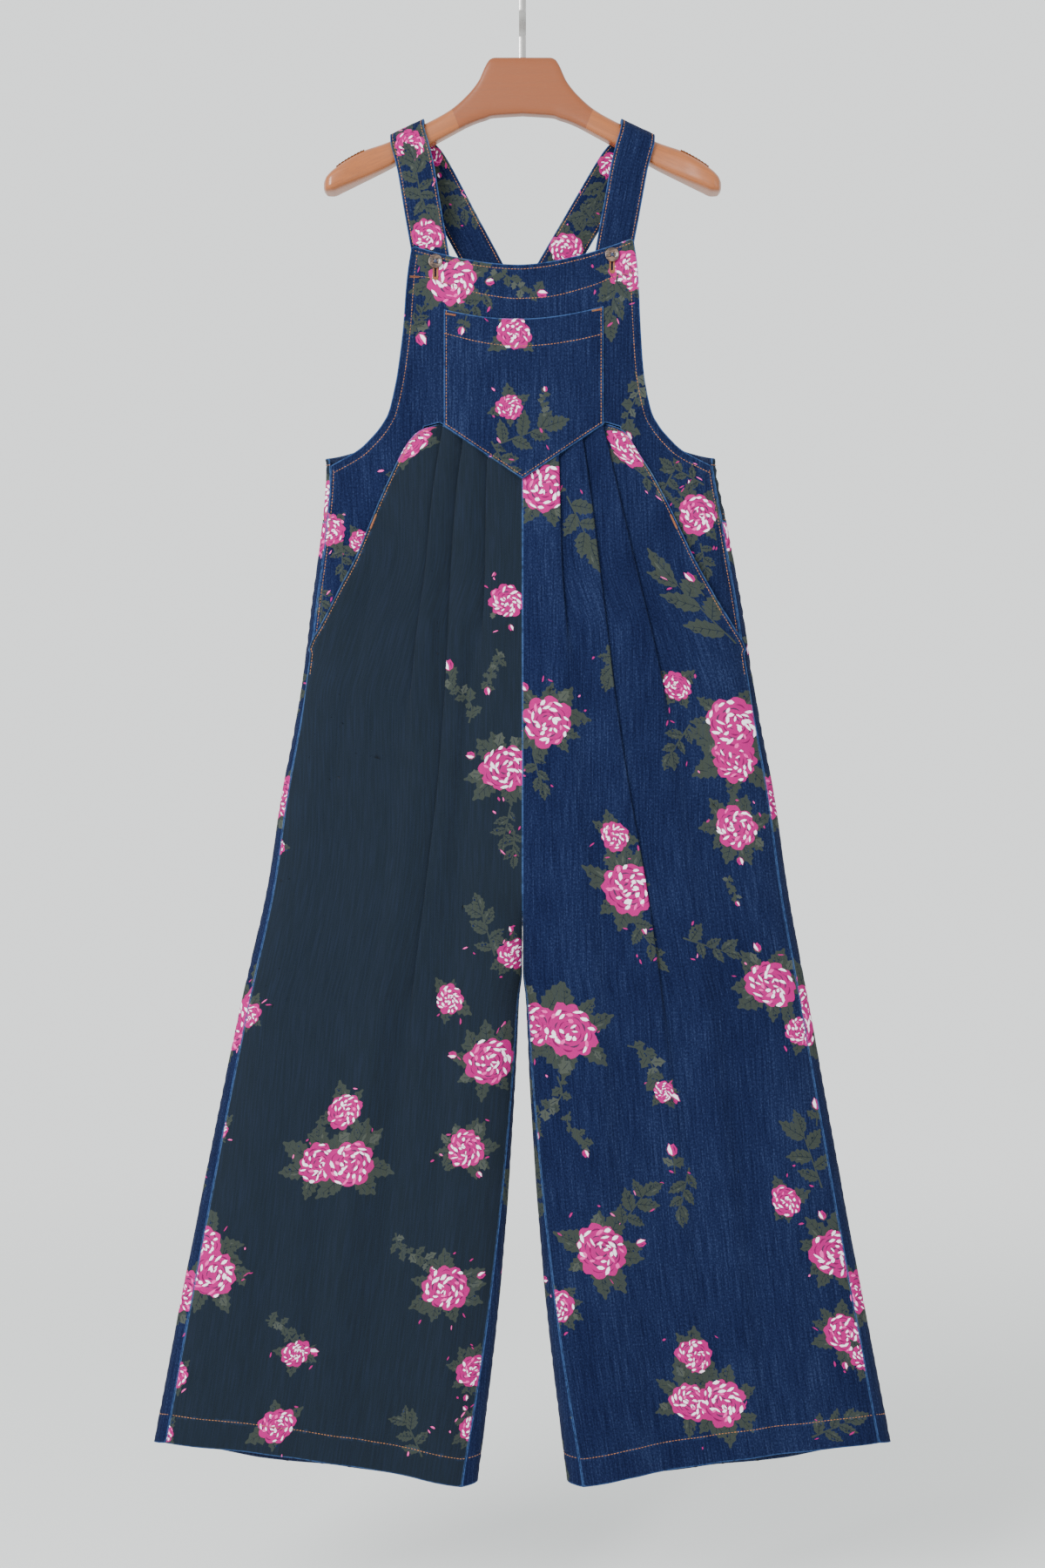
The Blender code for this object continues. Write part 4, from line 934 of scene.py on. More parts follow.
        sides = []
        for side in (-1, 1):
            line = []
            for tooth in range(teeth):
                start = (tooth + 0.25) / teeth
                grow = math.sin(math.pi * min(start + 0.06, 1) ** 0.8) ** 0.8
                line.append((start * length, side * half * grow * self.vary(0.78, 0.92)))
                tip = start + 0.62 / teeth
                grow = math.sin(math.pi * min(tip, 0.97) ** 0.8) ** 0.8
                line.append((tip * length, side * half * grow * self.vary(1.04, 1.22)))
            sides.append(line)
        outline = [(0, 0), *sides[0], (length, 0), *sides[1][::-1]]
        self.lay(shaped(np.array(outline)), Ink.LEAF, base, turn)
        dark = 1 if self.vary(0, 1) < 0.5 else -1
        for vein in range(4):
            start = length * (0.14 + 0.19 * vein)
            for side in (-1, 1):
                reach = half * math.sin(math.pi * (0.2 + 0.2 * vein) ** 0.8) * 0.8
                wide = 0.5 * MM if side == dark else 0.22 * MM
                spike = np.array([(start - wide, 0), (start + wide, 0),
                                  (start + reach * 0.75, side * reach)])
                self.lay(shaped(spike[::side]), Ink.VEIN, base, turn)
        rib = np.array([(0.02, -0.35), (0.5, -0.3), (0.93, 0), (0.5, 0.3), (0.02, 0.35)])
        self.lay(shaped(rib * (length, MM)), Ink.VEIN, base, turn)
        for _ in range(int(self.rng.integers(1, 4))):
            x = self.vary(0.25, 0.75) * length
            y = dark * half * self.vary(0.2, 0.6)
            spot = np.array([(0, 0), (0.6, -0.35), (1, 0.1), (0.5, 0.4)]) * self.vary(1.6, 3.4) * MM
            self.lay(shaped(spot + (x, y)), Ink.BARE if self.vary(0, 1) < 0.55 else Ink.VEIN, base, turn)
        if self.vary(0, 1) < 0.4:
            glint = np.array([(0, 0), (0.6, -0.12), (1, 0.0), (0.5, 0.12)]) * length * 0.32
            self.lay(shaped(glint + (length * 0.3, -dark * half * 0.4)), Ink.LEAF_PALE, base, turn)

    def leaflet(self, base: Sequence[float], turn: float, length: float) -> None:
        """Add a small lobed leaf of one shade."""
        side = self.vary(0.3, 0.5)
        outline = np.array([
            (0, 0), (0.18, -0.5 * side), (0.3, -1.0 * side), (0.46, -0.62 * side), (0.66, -0.95 * side),
            (0.74, -0.45 * side), (1.0, self.vary(-0.1, 0.1)), (0.78, 0.5 * side), (0.6, 0.9 * side),
            (0.5, 0.5 * side), (0.3, 1.05 * side), (0.16, 0.42 * side)])
        ink = Ink.LEAF if self.vary(0, 1) < 0.75 else Ink.LEAF_PALE
        self.lay(outline * length, ink, base, turn)
        if length > 9 * MM:
            self.almond(np.asarray(base) + 0.1 * length * np.array([math.cos(turn), math.sin(turn)]),
                        turn, length * 0.7, 0.8 * MM, Ink.VEIN)

    def stem(self, points: np.ndarray, width: float) -> np.ndarray:
        """Add a thin stem on a smooth line, and return that line."""
        line = through(points, 12)
        half = np.linspace(width / 2, width / 4, 12)[:, None]
        side = (beside(line, 1.0) - line) * half
        self.shapes.append((np.vstack([line - side, (line + side)[::-1]]), Ink.LEAF))
        return line

    def bud(self, base: Sequence[float], turn: float, length: float) -> None:
        """Add a pink bud with a white side, held by pointed sepals."""
        for lean in (-0.75, 0.0, 0.7):
            self.almond(base, turn + lean + self.vary(-0.2, 0.2), length * self.vary(0.5, 0.95),
                        length * 0.22, Ink.LEAF)
        body = np.array([(0.12, 0), (0.3, -0.3), (0.62, -0.36), (1.0, -0.14), (0.9, 0.06), (1.04, 0.2),
                         (0.6, 0.36), (0.28, 0.28)]) * length
        self.lay(body, Ink.ROSE, base, turn)
        self.lay(np.array([(0.2, 0.02), (0.5, 0.02), (0.98, 0.16), (0.62, 0.31), (0.34, 0.22)]) * length,
                 Ink.WHITE, base, turn)
        self.lay(np.array([(0.3, -0.2), (0.66, -0.22), (0.85, -0.1), (0.6, -0.12)]) * length,
                 Ink.ROSE_DEEP, base, turn)

    def slivers(self, radius: float, count: int) -> None:
        """Add loose petals round a cluster."""
        for _ in range(count):
            angle, reach = self.vary(0, 6.3), radius * self.vary(0.8, 1.15)
            self.almond((reach * math.cos(angle), reach * math.sin(angle)), self.vary(0, 6.3),
                        self.vary(3, 8) * MM, self.vary(1.5, 3) * MM,
                        Ink.ROSE if self.vary(0, 1) < 0.7 else Ink.BLUSH)

    def wreath(self, middle: Sequence[float], radius: float, count: int, size: float) -> None:
        """Add leaves that reach out from under a flower, most of them in pairs."""
        start = self.vary(0, 6)
        for number in range(count):
            angle = start + 2 * math.pi * (number + self.vary(-0.25, 0.25)) / count
            base = np.asarray(middle) + radius * 0.55 * np.array([math.cos(angle), math.sin(angle)])
            self.leaf(base, angle + self.vary(-0.35, 0.35), size * self.vary(0.9, 1.35))
            if self.vary(0, 1) < 0.5:
                tip = np.asarray(middle) + radius * 1.15 * np.array([math.cos(angle), math.sin(angle)])
                self.leaflet(tip, angle + self.vary(-0.9, 0.9), size * self.vary(0.35, 0.6))

    def vine(self, size: float, turn: float, flower: bool = True) -> None:
        """Add a curling vine with small leaves that runs from the middle along its turn."""
        ahead = np.array([math.cos(turn), math.sin(turn)])
        side = np.array([-ahead[1], ahead[0]])
        sway = self.vary(0.08, 0.16) * (1 if self.vary(0, 1) < 0.5 else -1)
        points = [ahead * size * t + side * size * sway * math.sin(t * 5.5) for t in (0, 0.25, 0.5, 0.75, 1)]
        line = self.stem(np.array(points), 1.9 * MM)
        for number in range(1, 12):
            base = line[number]
            heading = math.atan2(*(line[number] - line[number - 1])[::-1])
            lean = (0.9 if number % 2 else -0.9) + self.vary(-0.4, 0.4)
            self.leaflet(base, heading + lean, size * self.vary(0.14, 0.27))
            if self.vary(0, 1) < 0.35:
                self.leaflet(base, heading - lean, size * self.vary(0.1, 0.18))
        if flower:
            self.bud(line[-1], turn + self.vary(-0.4, 0.4), size * 0.24)

    def draw(self, motif: Motif, size: float, turn: float) -> list[Shape]:
        """Draw a motif.

        Args:
            motif: which one.
            size: its reach across, in metres.
            turn: the way it points, in radians.

        Returns:
            Its shapes in paint order.
        """
        ahead = np.array([math.cos(turn), math.sin(turn)])
        if motif is Motif.DOUBLE:
            for sign in (-1, 1):
                self.wreath(ahead * sign * size * 0.17, size * 0.26, 7, size * 0.3)
            self.slivers(size * 0.45, 5)
            self.rose(-ahead * size * 0.19, size * 0.23)
            self.rose(ahead * size * 0.17, size * 0.275)
        elif motif is Motif.SINGLE:
            self.wreath((0, 0), size * 0.26, 9, size * 0.32)
            self.slivers(size * 0.48, 5)
            self.bud(ahead * size * 0.4, turn, size * 0.13)
            self.rose((0, 0), size * 0.305)
        elif motif is Motif.SMALL:
            for lean in (-2.4, -0.5, 0.6, 2.5):
                self.leaf((0, 0), turn + lean + self.vary(-0.3, 0.3), size * self.vary(0.5, 0.7))
            self.slivers(size * 0.6, 2)
            self.rose((0, 0), size * 0.37)
        elif motif is Motif.LEAVES:
            line = self.stem(np.array([-ahead * size * 0.45, (0, 0), ahead * size * 0.4]), 2 * MM)
            for number, lean in ((2, 1.0), (4, -1.0), (6, 0.9), (8, -0.8), (10, 0.7), (11, 0.0)):
                self.leaf(line[number], turn + lean + self.vary(-0.3, 0.3), size * self.vary(0.3, 0.44))
            self.slivers(size * 0.4, 3)
        elif motif is Motif.VINE:
            self.vine(size, turn)
        else:
            self.stem(np.array([-ahead * size * 0.5, (0.4 * MM, 0), ahead * size * 0.1]), 1.6 * MM)
            for lean in (-1.1, 1.0):
                self.leaflet(-ahead * size * 0.2, turn + lean, size * 0.45)
            self.bud(ahead * size * 0.05, turn, size * 0.5)
        return self.shapes


# px, py in the photograph, motif, reach in mm, turn in degrees, seed
LEFT_LEG_PRINT = [
    (380, 845, Motif.DOUBLE, 108, -48, 11), (345, 940, Motif.VINE, 62, -95, 12),
    (445, 905, Motif.VINE, 62, -62, 13), (340, 1112, Motif.SINGLE, 86, 200, 14),
    (425, 1080, Motif.LEAVES, 66, 50, 15), (440, 1048, Motif.BUD, 26, 80, 16),
    (490, 663, Motif.SMALL, 46, 90, 17), (490, 732, Motif.SMALL, 50, -90, 18),
    (490, 775, Motif.VINE, 44, -85, 19), (582, 592, Motif.SINGLE, 86, 100, 20),
    (582, 690, Motif.SINGLE, 60, -80, 21), (570, 745, Motif.VINE, 40, -100, 22),
    (540, 830, Motif.VINE, 58, 110, 23), (580, 882, Motif.SINGLE, 84, 160, 24),
    (582, 945, Motif.LEAVES, 40, -100, 25), (590, 1095, Motif.SINGLE, 56, 100, 26),
    (560, 1070, Motif.LEAVES, 58, 110, 27), (517, 1147, Motif.SMALL, 42, 100, 28),
    (562, 1218, Motif.SINGLE, 84, 170, 29), (535, 1318, Motif.SINGLE, 66, -60, 30),
    (396, 1275, Motif.SMALL, 50, 80, 31), (385, 1335, Motif.DOUBLE, 92, 0, 32),
    (455, 1415, Motif.VINE, 54, -45, 33), (512, 1478, Motif.SINGLE, 80, 20, 34),
    (238, 1448, Motif.DOUBLE, 92, -60, 35), (305, 1515, Motif.VINE, 58, -30, 36),
    (340, 1553, Motif.SMALL, 40, -60, 37), (318, 1636, Motif.SMALL, 52, -120, 38),
    (475, 1650, Motif.LEAVES, 52, 120, 39), (543, 1575, Motif.SINGLE, 58, -100, 40),
    (545, 1640, Motif.SINGLE, 52, 120, 41), (316, 972, Motif.SMALL, 28, 120, 42),
    (285, 1166, Motif.SMALL, 36, -60, 43), (250, 1298, Motif.SMALL, 30, 90, 44),
    (200, 1580, Motif.SMALL, 40, -90, 45), (470, 510, Motif.SMALL, 52, -120, 46),
    (187, 1648, Motif.SMALL, 30, 90, 47), (590, 970, Motif.LEAVES, 34, -90, 48),
]
RIGHT_LEG_PRINT = [
    (625, 560, Motif.SINGLE, 84, 80, 61), (665, 600, Motif.LEAVES, 66, -70, 62),
    (805, 700, Motif.LEAVES, 84, 110, 63), (777, 788, Motif.SMALL, 40, -100, 64),
    (798, 672, Motif.BUD, 24, 100, 65), (843, 850, Motif.DOUBLE, 104, 80, 66),
    (780, 850, Motif.LEAVES, 48, -130, 67), (845, 950, Motif.SINGLE, 74, -90, 68),
    (838, 1005, Motif.VINE, 26, -90, 69), (628, 828, Motif.SINGLE, 88, 120, 70),
    (690, 790, Motif.VINE, 46, 60, 71), (617, 885, Motif.LEAVES, 42, -80, 72),
    (722, 1020, Motif.SINGLE, 92, -80, 73), (705, 960, Motif.SMALL, 42, 110, 74),
    (740, 1075, Motif.LEAVES, 56, -60, 75), (810, 1085, Motif.LEAVES, 52, -20, 76),
    (885, 1130, Motif.SINGLE, 84, 100, 77), (635, 1180, Motif.DOUBLE, 104, -10, 78),
    (640, 1235, Motif.VINE, 62, -110, 79), (720, 1200, Motif.VINE, 62, -45, 80),
    (762, 1252, Motif.SMALL, 30, -90, 81), (773, 1330, Motif.BUD, 30, 90, 82),
    (785, 1365, Motif.LEAVES, 54, -110, 83), (690, 1435, Motif.SINGLE, 92, 10, 84),
    (725, 1390, Motif.LEAVES, 58, 50, 85), (932, 1330, Motif.LEAVES, 70, 100, 86),
    (938, 1278, Motif.BUD, 28, 80, 87), (902, 1378, Motif.SMALL, 44, -110, 88),
    (960, 1440, Motif.SINGLE, 88, 100, 89), (970, 1532, Motif.SINGLE, 70, -100, 90),
    (797, 1556, Motif.SMALL, 52, 100, 91), (812, 1610, Motif.DOUBLE, 92, 0, 92),
    (640, 1500, Motif.SINGLE, 60, 100, 93), (920, 1185, Motif.SMALL, 44, -80, 94),
    (955, 1640, Motif.LEAVES, 54, 20, 95), (722, 515, Motif.SMALL, 52, 60, 96),
    (750, 555, Motif.LEAVES, 44, -60, 97), (655, 1275, Motif.VINE, 40, -80, 98),
    (995, 1560, Motif.SMALL, 44, 90, 99), (700, 760, Motif.LEAVES, 40, -100, 100),
]
BIB_PRINT = [
    (519, 322, Motif.SINGLE, 84, 0, 121), (560, 318, Motif.VINE, 52, -10, 122),
    (480, 378, Motif.BUD, 30, -70, 123), (478, 368, Motif.LEAVES, 32, 60, 124),
    (722, 310, Motif.SINGLE, 72, 100, 125), (705, 340, Motif.LEAVES, 58, -100, 126),
    (732, 425, Motif.VINE, 62, -95, 127), (800, 590, Motif.SINGLE, 70, 100, 128),
    (790, 545, Motif.LEAVES, 44, 150, 129), (376, 607, Motif.SMALL, 46, -90, 130),
    (412, 622, Motif.SMALL, 34, -100, 131), (390, 640, Motif.LEAVES, 40, -90, 132),
    (365, 690, Motif.LEAVES, 34, -90, 133), (805, 640, Motif.LEAVES, 34, -80, 134),
    (762, 562, Motif.LEAVES, 44, -120, 135), (455, 550, Motif.LEAVES, 36, -120, 136),
    (545, 350, Motif.LEAVES, 50, -130, 137),
]
POCKET_PRINT = [
    (590, 381, Motif.SMALL, 50, 90, 151), (585, 467, Motif.SMALL, 38, 60, 152),
    (598, 500, Motif.LEAVES, 66, 20, 153), (618, 480, Motif.VINE, 28, 70, 154),
    (532, 372, Motif.BUD, 20, -110, 155), (575, 525, Motif.LEAVES, 44, -60, 156),
]
# half-drop repeat of the back: distance across and down in mm, motif, reach, turn, seed
BACK_REPEAT = [
    (0, 0, Motif.DOUBLE, 100, -40, 201), (66, -70, Motif.VINE, 62, -60, 202),
    (112, -150, Motif.SINGLE, 84, 30, 203), (40, -190, Motif.LEAVES, 66, 100, 204),
    (10, -290, Motif.SINGLE, 78, 160, 205), (96, -330, Motif.SMALL, 46, -80, 206),
    (88, -400, Motif.LEAVES, 60, -60, 207), (30, -450, Motif.BUD, 30, 80, 208),
]
BACK_REPEAT_SIZE = (176 * MM, 520 * MM)
# across and along the strap in mm, whether on the side that faces the wearer, then as above
LEFT_STRAP_PRINT = [
    (-1, 158, False, Motif.SINGLE, 56, 0, 221), (0, 120, False, Motif.LEAVES, 56, 90, 222),
    (3, 92, False, Motif.LEAVES, 46, -80, 223), (0, 63, False, Motif.SMALL, 46, 100, 224),
    (4, 232, True, Motif.SINGLE, 50, 90, 225), (-4, 272, True, Motif.LEAVES, 60, 90, 226),
    (10, 300, True, Motif.LEAVES, 40, 60, 227), (-8, 420, True, Motif.SMALL, 44, 90, 228),
    (0, 250, False, Motif.SINGLE, 60, 90, 229), (0, 340, False, Motif.LEAVES, 60, 90, 230),
    (0, 410, False, Motif.SMALL, 46, 90, 231),
]
RIGHT_STRAP_PRINT = [
    (0, 236, True, Motif.SMALL, 48, -80, 241), (0, 276, True, Motif.LEAVES, 58, 90, 242),
    (4, 305, True, Motif.LEAVES, 48, -90, 243), (0, 338, True, Motif.SMALL, 50, 90, 244),
    (0, 245, False, Motif.LEAVES, 60, 90, 245), (0, 300, False, Motif.SMALL, 48, 90, 246),
    (0, 390, False, Motif.SINGLE, 58, 90, 247),
]


def drawn(motif: Motif, reach: float, turn: float, seed: int) -> list[Shape]:
    """Draw a motif from its row of a table, with reach in mm and turn in degrees."""
    return Florist(seed).draw(motif, reach * MM, math.radians(turn))


def flat_print(table: Sequence[Sequence]) -> list[Shape]:
    """Return the shapes of a table on a panel whose flat cut lies straight on the front."""
    shapes = []
    for px, py, *motif in table:
        shapes += [(outline + VIEW.place(px, py), ink) for outline, ink in drawn(*motif)]
    return shapes


# ================================================================ front legs with their pleats
@dataclass
class Pleat:
    """A knife pleat that hangs open lower down; its fold's edges are a table in millimetres."""

    edge: Curve
    under: float                # how deep it tucks
    shut_z: float               # down to here it is a knife fold
    open_z: float               # from here it is a soft step
    height: float               # of that step
    layer: float = 2.1 * MM     # from one layer to the next
    open_width: float = 22 * MM
    knots: int = 10

    def layout(self, z: float) -> tuple[np.ndarray, np.ndarray]:
        """Return the x and the height of its points at a level, from its inner side."""
        turn, half = self.layer / 2, self.knots // 2
        crest = np.radians(np.linspace(90, -90, half))
        tuck = np.radians(np.linspace(90, 270, half))
        knife = np.array([
            np.concatenate([-turn + turn * np.cos(crest), -self.under + turn + turn * np.cos(tuck)]),
            np.concatenate([1.5 * self.layer + turn * np.sin(crest),
                            0.5 * self.layer + turn * np.sin(tuck)])])
        share = np.linspace(-1, 1, self.knots)
        upright = np.array([turn * share ** 3, self.layer * (1 - np.sin(share * math.pi / 2))])
        fade = 1 - 0.6 * float(ease(-z, 1150 * MM, 1590 * MM))
        soft = np.array([self.open_width / 2 * share,
                         self.height * fade * (0.5 - 0.5 * np.sin(share * math.pi / 2))])
        shut = float(ease(z, self.open_z, self.shut_z))
        folded = upright + (knife - upright) * float(np.clip(2 * shut - 1, 0, 1))
        along, up = soft + (folded - soft) * float(np.clip(2 * shut, 0, 1))
        return float(self.edge(z)) + along, up

    def shut(self, z: float) -> bool:
        """Return whether the pleat is nearer a knife fold than a step."""
        return float(ease(z, self.open_z, self.shut_z)) > 0.5


@dataclass
class FrontLeg:
    """One front leg panel; its tables are in millimetres from the middle outwards."""

    side: int
    drape: Drape
    bib: Bib
    # z at the inner edge, x and z at the outer edge, rows of cloth down to the next line
    rows: Table = (
        (-530.5, 86.9, -472.1, 2), (-555, 107.9, -481.5, 2), (-587, 129, -512, 1),
        (-632, 151.8, -556.5, 2), (-687, 180.2, -622, 2), (-750, 212.2, -682, 1),
        (-787, 228.5, -712, 2), (-878, 244, -816, 3), (-1046, 280.5, -1035, 2),
        (-1148, 301.5, -1155, 2), (-1298, 325, -1288, 2), (-1432, 349, -1417, 3),
        (-1588.5, 371, -1543, 0))
    side_seam_row: int = 6
    hem_bow: float = 6 * MM
    hem_inner_z: float = -1588.5 * MM
    hem_outer_z: float = -1543 * MM
    lap: float = 2.4 * MM
    lap_start: float = 87 * MM
    lap_full: float = 99 * MM
    lap_end: float = -738 * MM
    lap_gone: float = -800 * MM
    opening: float = 5.5 * MM
    opening_top: float = -565 * MM
    opening_end: float = -716 * MM
    opening_reach: float = 48 * MM
    opening_slope: float = 0.45     # the rows of the opening fall inwards by this
    tuck: float = 34 * MM
    top: float = -466 * MM
    bottom: float = -1602 * MM
    level_step: float = 4 * MM
    outer_points: int = 18
    # z, then the x of the inner, the middle and the outer pleat's edge
    left_pleats: Table = (
        (-460, 35, 58, 81), (-555, 38, 70, 95), (-625, 39, 75, 102), (-700, 42, 78.5, 112.5),
        (-745, 44, 81, 117), (-840, 51, 88, 126), (-970, 58, 103, 142), (-1080, 64, 116, 158),
        (-1195, 72, 123, 175), (-1350, 84, 138, 200), (-1600, 110, 168, 245))
    right_pleats: Table = (
        (-460, 37, 59, 81.5), (-555, 39, 72, 102), (-625, 41, 80, 117.5), (-700, 47.5, 89, 135),
        (-745, 52.5, 94, 144), (-840, 60, 107.6, 159), (-970, 73, 130, 180),
        (-1080, 84, 146, 197), (-1195, 94, 160, 212), (-1350, 108, 178, 232),
        (-1600, 130, 205, 268))
    # depth under the fold, z down to which it stays shut, z where it has opened, height when open
    pleat_sizes: Table = ((10.5, -600, -760, 3.5), (11.5, -880, -1240, 5.0), (10.5, -660, -840, 4.0))

    def __post_init__(self) -> None:
        """Work out the leg's section at every level."""
        keys = np.arange(len(self.rows))
        columns = np.array(self.rows, float).T[:3] * MM
        inner_z, outer_x, outer_z = [smooth_curve(keys, column) for column in columns]
        at = np.linspace(0, len(self.rows) - 1, 240)
        x, z = outer_x(at), outer_z(at)
        self.outer_line = np.stack(
            [np.where(at >= self.side_seam_row, self.drape.side_seam(z), x), z], axis=1)
        table = self.left_pleats if self.side < 0 else self.right_pleats
        self.pleats = [Pleat(edge, *(np.array(sizes) * MM))
                       for edge, sizes in zip(table_curves(table), self.pleat_sizes)]
        self.levels = np.arange(self.top, self.bottom, -self.level_step)
        sections = [self.section(float(z)) for z in self.levels]
        self.knots_x = np.array([x for x, _ in sections])
        self.knots_up = np.array([up for _, up in sections])
        steps = np.hypot(np.diff(self.knots_x, axis=1), np.diff(self.knots_up, axis=1))
        self.knots_u = np.concatenate([np.zeros((len(steps), 1)), np.cumsum(steps, axis=1)], axis=1)

    def outer_x(self, z: np.ndarray) -> np.ndarray:
        """Return the x of the outer edge: the hip seam, the slant pocket, then the side seam."""
        line = self.outer_line[::-1]
        return np.interp(z, line[:, 1], line[:, 0])

    def section(self, z: float) -> tuple[np.ndarray, np.ndarray]:
        """Return the x and the height over the front of the leg's section at a level."""
        start = float(self.drape.inner_edge(z))
        x, up = [start], [0.0]
        last, was_shut = start, True
        for number, pleat in enumerate(self.pleats):
            along, rise = pleat.layout(z)
            lead = min(along.min(), along[0]) - 2.5 * MM
            if number == 0:
                x.append(start + (lead - start) * 0.45)
                up.append(rise[0] * 0.5)
            else:
                emerge = last + (1.5 * MM if was_shut else 3.0 * MM)
                x.append(min(emerge, last + (lead - last) * 0.35))
                up.append(0.0)
            x.append(lead)
            up.append(rise[0])
            x += list(along)
            up += list(rise)
            last = max(float(pleat.edge(z)), along[-1])
            was_shut = pleat.shut(z)
        outer = max(float(self.outer_x(z)), last + 4 * MM)
        x += list(np.linspace(last + 1.5 * MM, outer, self.outer_points))
        up += [0.0] * self.outer_points
        return np.array(x), np.array(up)

    def raised(self, x: np.ndarray, z: np.ndarray) -> np.ndarray:
        """Return how far the leg stands over the front besides its pleats."""
        on_bib = ease(x, self.lap_start, self.lap_full) * ease(z, self.lap_gone, self.lap_end)
        below = self.bib.v_seam(x) - z
        tucked = (1 - ease(x, self.lap_start - 3 * MM, self.lap_full)) * (1 - ease(below, 0, self.tuck))
        away = self.outer_x(z) - x
        row_z = z + self.opening_slope * away
        share = np.clip((row_z - self.opening_top) / (self.opening_end - self.opening_top), 0, 1)
        gap = np.sin(math.pi * share) * self.opening * ease(away, self.opening_reach, 0)
        return self.lap * on_bib - 2 * self.pleats[0].layer * tucked + gap

    def knots(self, z: np.ndarray) -> tuple[np.ndarray, np.ndarray, np.ndarray]:
        """Return the distance along, the x and the height of every knot of the sections at z."""
        at = np.clip((self.top - z) / self.level_step, 0, len(self.levels) - 1.001)
        cell = at.astype(int)
        share = (at - cell)[:, None]
        return tuple(table[cell] * (1 - share) + table[cell + 1] * share
                     for table in (self.knots_u, self.knots_x, self.knots_up))

    def spread(self, flat: np.ndarray) -> tuple[np.ndarray, np.ndarray]:
        """Return the x and the height of flat points, before they are laid on the front."""
        u, x, up = self.knots(flat[:, 1])
        cell = np.clip(np.sum(u <= flat[:, :1], axis=1) - 1, 0, u.shape[1] - 2)
        row = np.arange(len(flat))
        share = (flat[:, 0] - u[row, cell]) / np.maximum(u[row, cell + 1] - u[row, cell], 1e-9)
        at_x = x[row, cell] + (x[row, cell + 1] - x[row, cell]) * share
        return at_x, up[row, cell] + (up[row, cell + 1] - up[row, cell]) * share

    def surface(self, flat: np.ndarray) -> np.ndarray:
        """Return flat points laid on the hanging leg."""
        x, up = self.spread(flat)
        up = up + self.raised(x, flat[:, 1])
        return self.drape.on_front(self.side * x, flat[:, 1], up)

    def unfold(self, x: np.ndarray, z: np.ndarray) -> np.ndarray:
        """Return the flat points of places near the outer edge, past every pleat."""
        x, z = np.broadcast_arrays(np.asarray(x, float), np.asarray(z, float))
        u, knots_x, _ = self.knots(np.ravel(z))
        flat_u = u[:, -1] - (knots_x[:, -1] - np.ravel(x))
        return np.stack([flat_u, np.ravel(z)], axis=1)

    def outline(self) -> np.ndarray:
        """Return the flat cut's outline, turning left from the top of the inner edge."""
        inner_z = np.linspace(self.bib.v_tip - SEAM, self.hem_inner_z, 220)
        inner = np.stack([np.zeros(220), inner_z], axis=1)
        last = self.knots(np.array([self.hem_outer_z]))[0][0, -1]
        hem_u = np.linspace(0, last, 120)[1:-1]
        hem = self.follow(hem_u, self.hem_height, self.hem_inner_z)
        outer = self.outer_line[::-1]
        outer = outer[(outer[:, 0] > 88 * MM)]
        side = self.unfold(outer[:, 0], outer[:, 1])
        corner = self.unfold([self.bib.v_corner[0]], [self.bib.v_corner[1] - SEAM])
        seam_u = np.arange(corner[0, 0], 0, -1.0 * MM)[1:-1]
        seam = self.follow(seam_u, lambda x: self.bib.v_seam(x) - SEAM, self.bib.v_corner[1])
        return np.vstack([inner, hem, side, corner, seam])

    def hem_height(self, x: np.ndarray) -> np.ndarray:
        """Return the z of the hem."""
        inner = self.drape.inner_edge(np.array(self.hem_inner_z))
        outer = self.drape.side_seam(np.array(self.hem_outer_z))
        share = np.clip((x - inner) / (outer - inner), 0, 1)
        line = self.hem_inner_z + (self.hem_outer_z - self.hem_inner_z) * share
        return line + self.hem_bow * 4 * share * (1 - share)

    def follow(self, u: np.ndarray, height: Callable[[np.ndarray], np.ndarray],
               start: float) -> np.ndarray:
        """Return the flat points at distances u on a line whose z is a function of x."""
        z = np.full(len(u), start)
        for _ in range(12):
            x, _ = self.spread(np.stack([u, z], axis=1))
            z = height(x)
        return np.stack([u, z], axis=1)

    def lay_print(self, table: Sequence[Sequence]) -> list[Shape]:
        """Return a table's motifs in flat coordinates.

        Each motif keeps its distance from the next pleat's edge, as the cloth's grain does, so a
        part of it may lie hidden in the pleat.
        """
        crests = [3 + pleat * (self.pleats[0].knots + 2) + 2 for pleat in range(len(self.pleats))]
        shapes = []
        for px, py, *motif in table:
            x, z = VIEW.place(px, py)
            x = self.side * (x - float(self.drape.lean(z)) * (x / float(self.drape.half_width(z))) ** 2)
            knots_x = self.knots(np.array([z]))[1][0]
            chosen = next((crest for crest in crests if knots_x[crest] > x), -1)
            for outline, ink in drawn(*motif):
                local_z = z + outline[:, 1]
                axis = self.knots(local_z)[0][:, chosen] - (knots_x[chosen] - x)
                shapes.append((np.stack([axis + self.side * outline[:, 0], local_z], axis=1), ink))
        return shapes

    def rails(self) -> list[np.ndarray]:
        """Return the flat lines along which the pleats bend."""
        return [np.stack([self.knots_u[:, knot], self.levels], axis=1)
                for knot in range(1, self.knots_u.shape[1] - self.outer_points)]


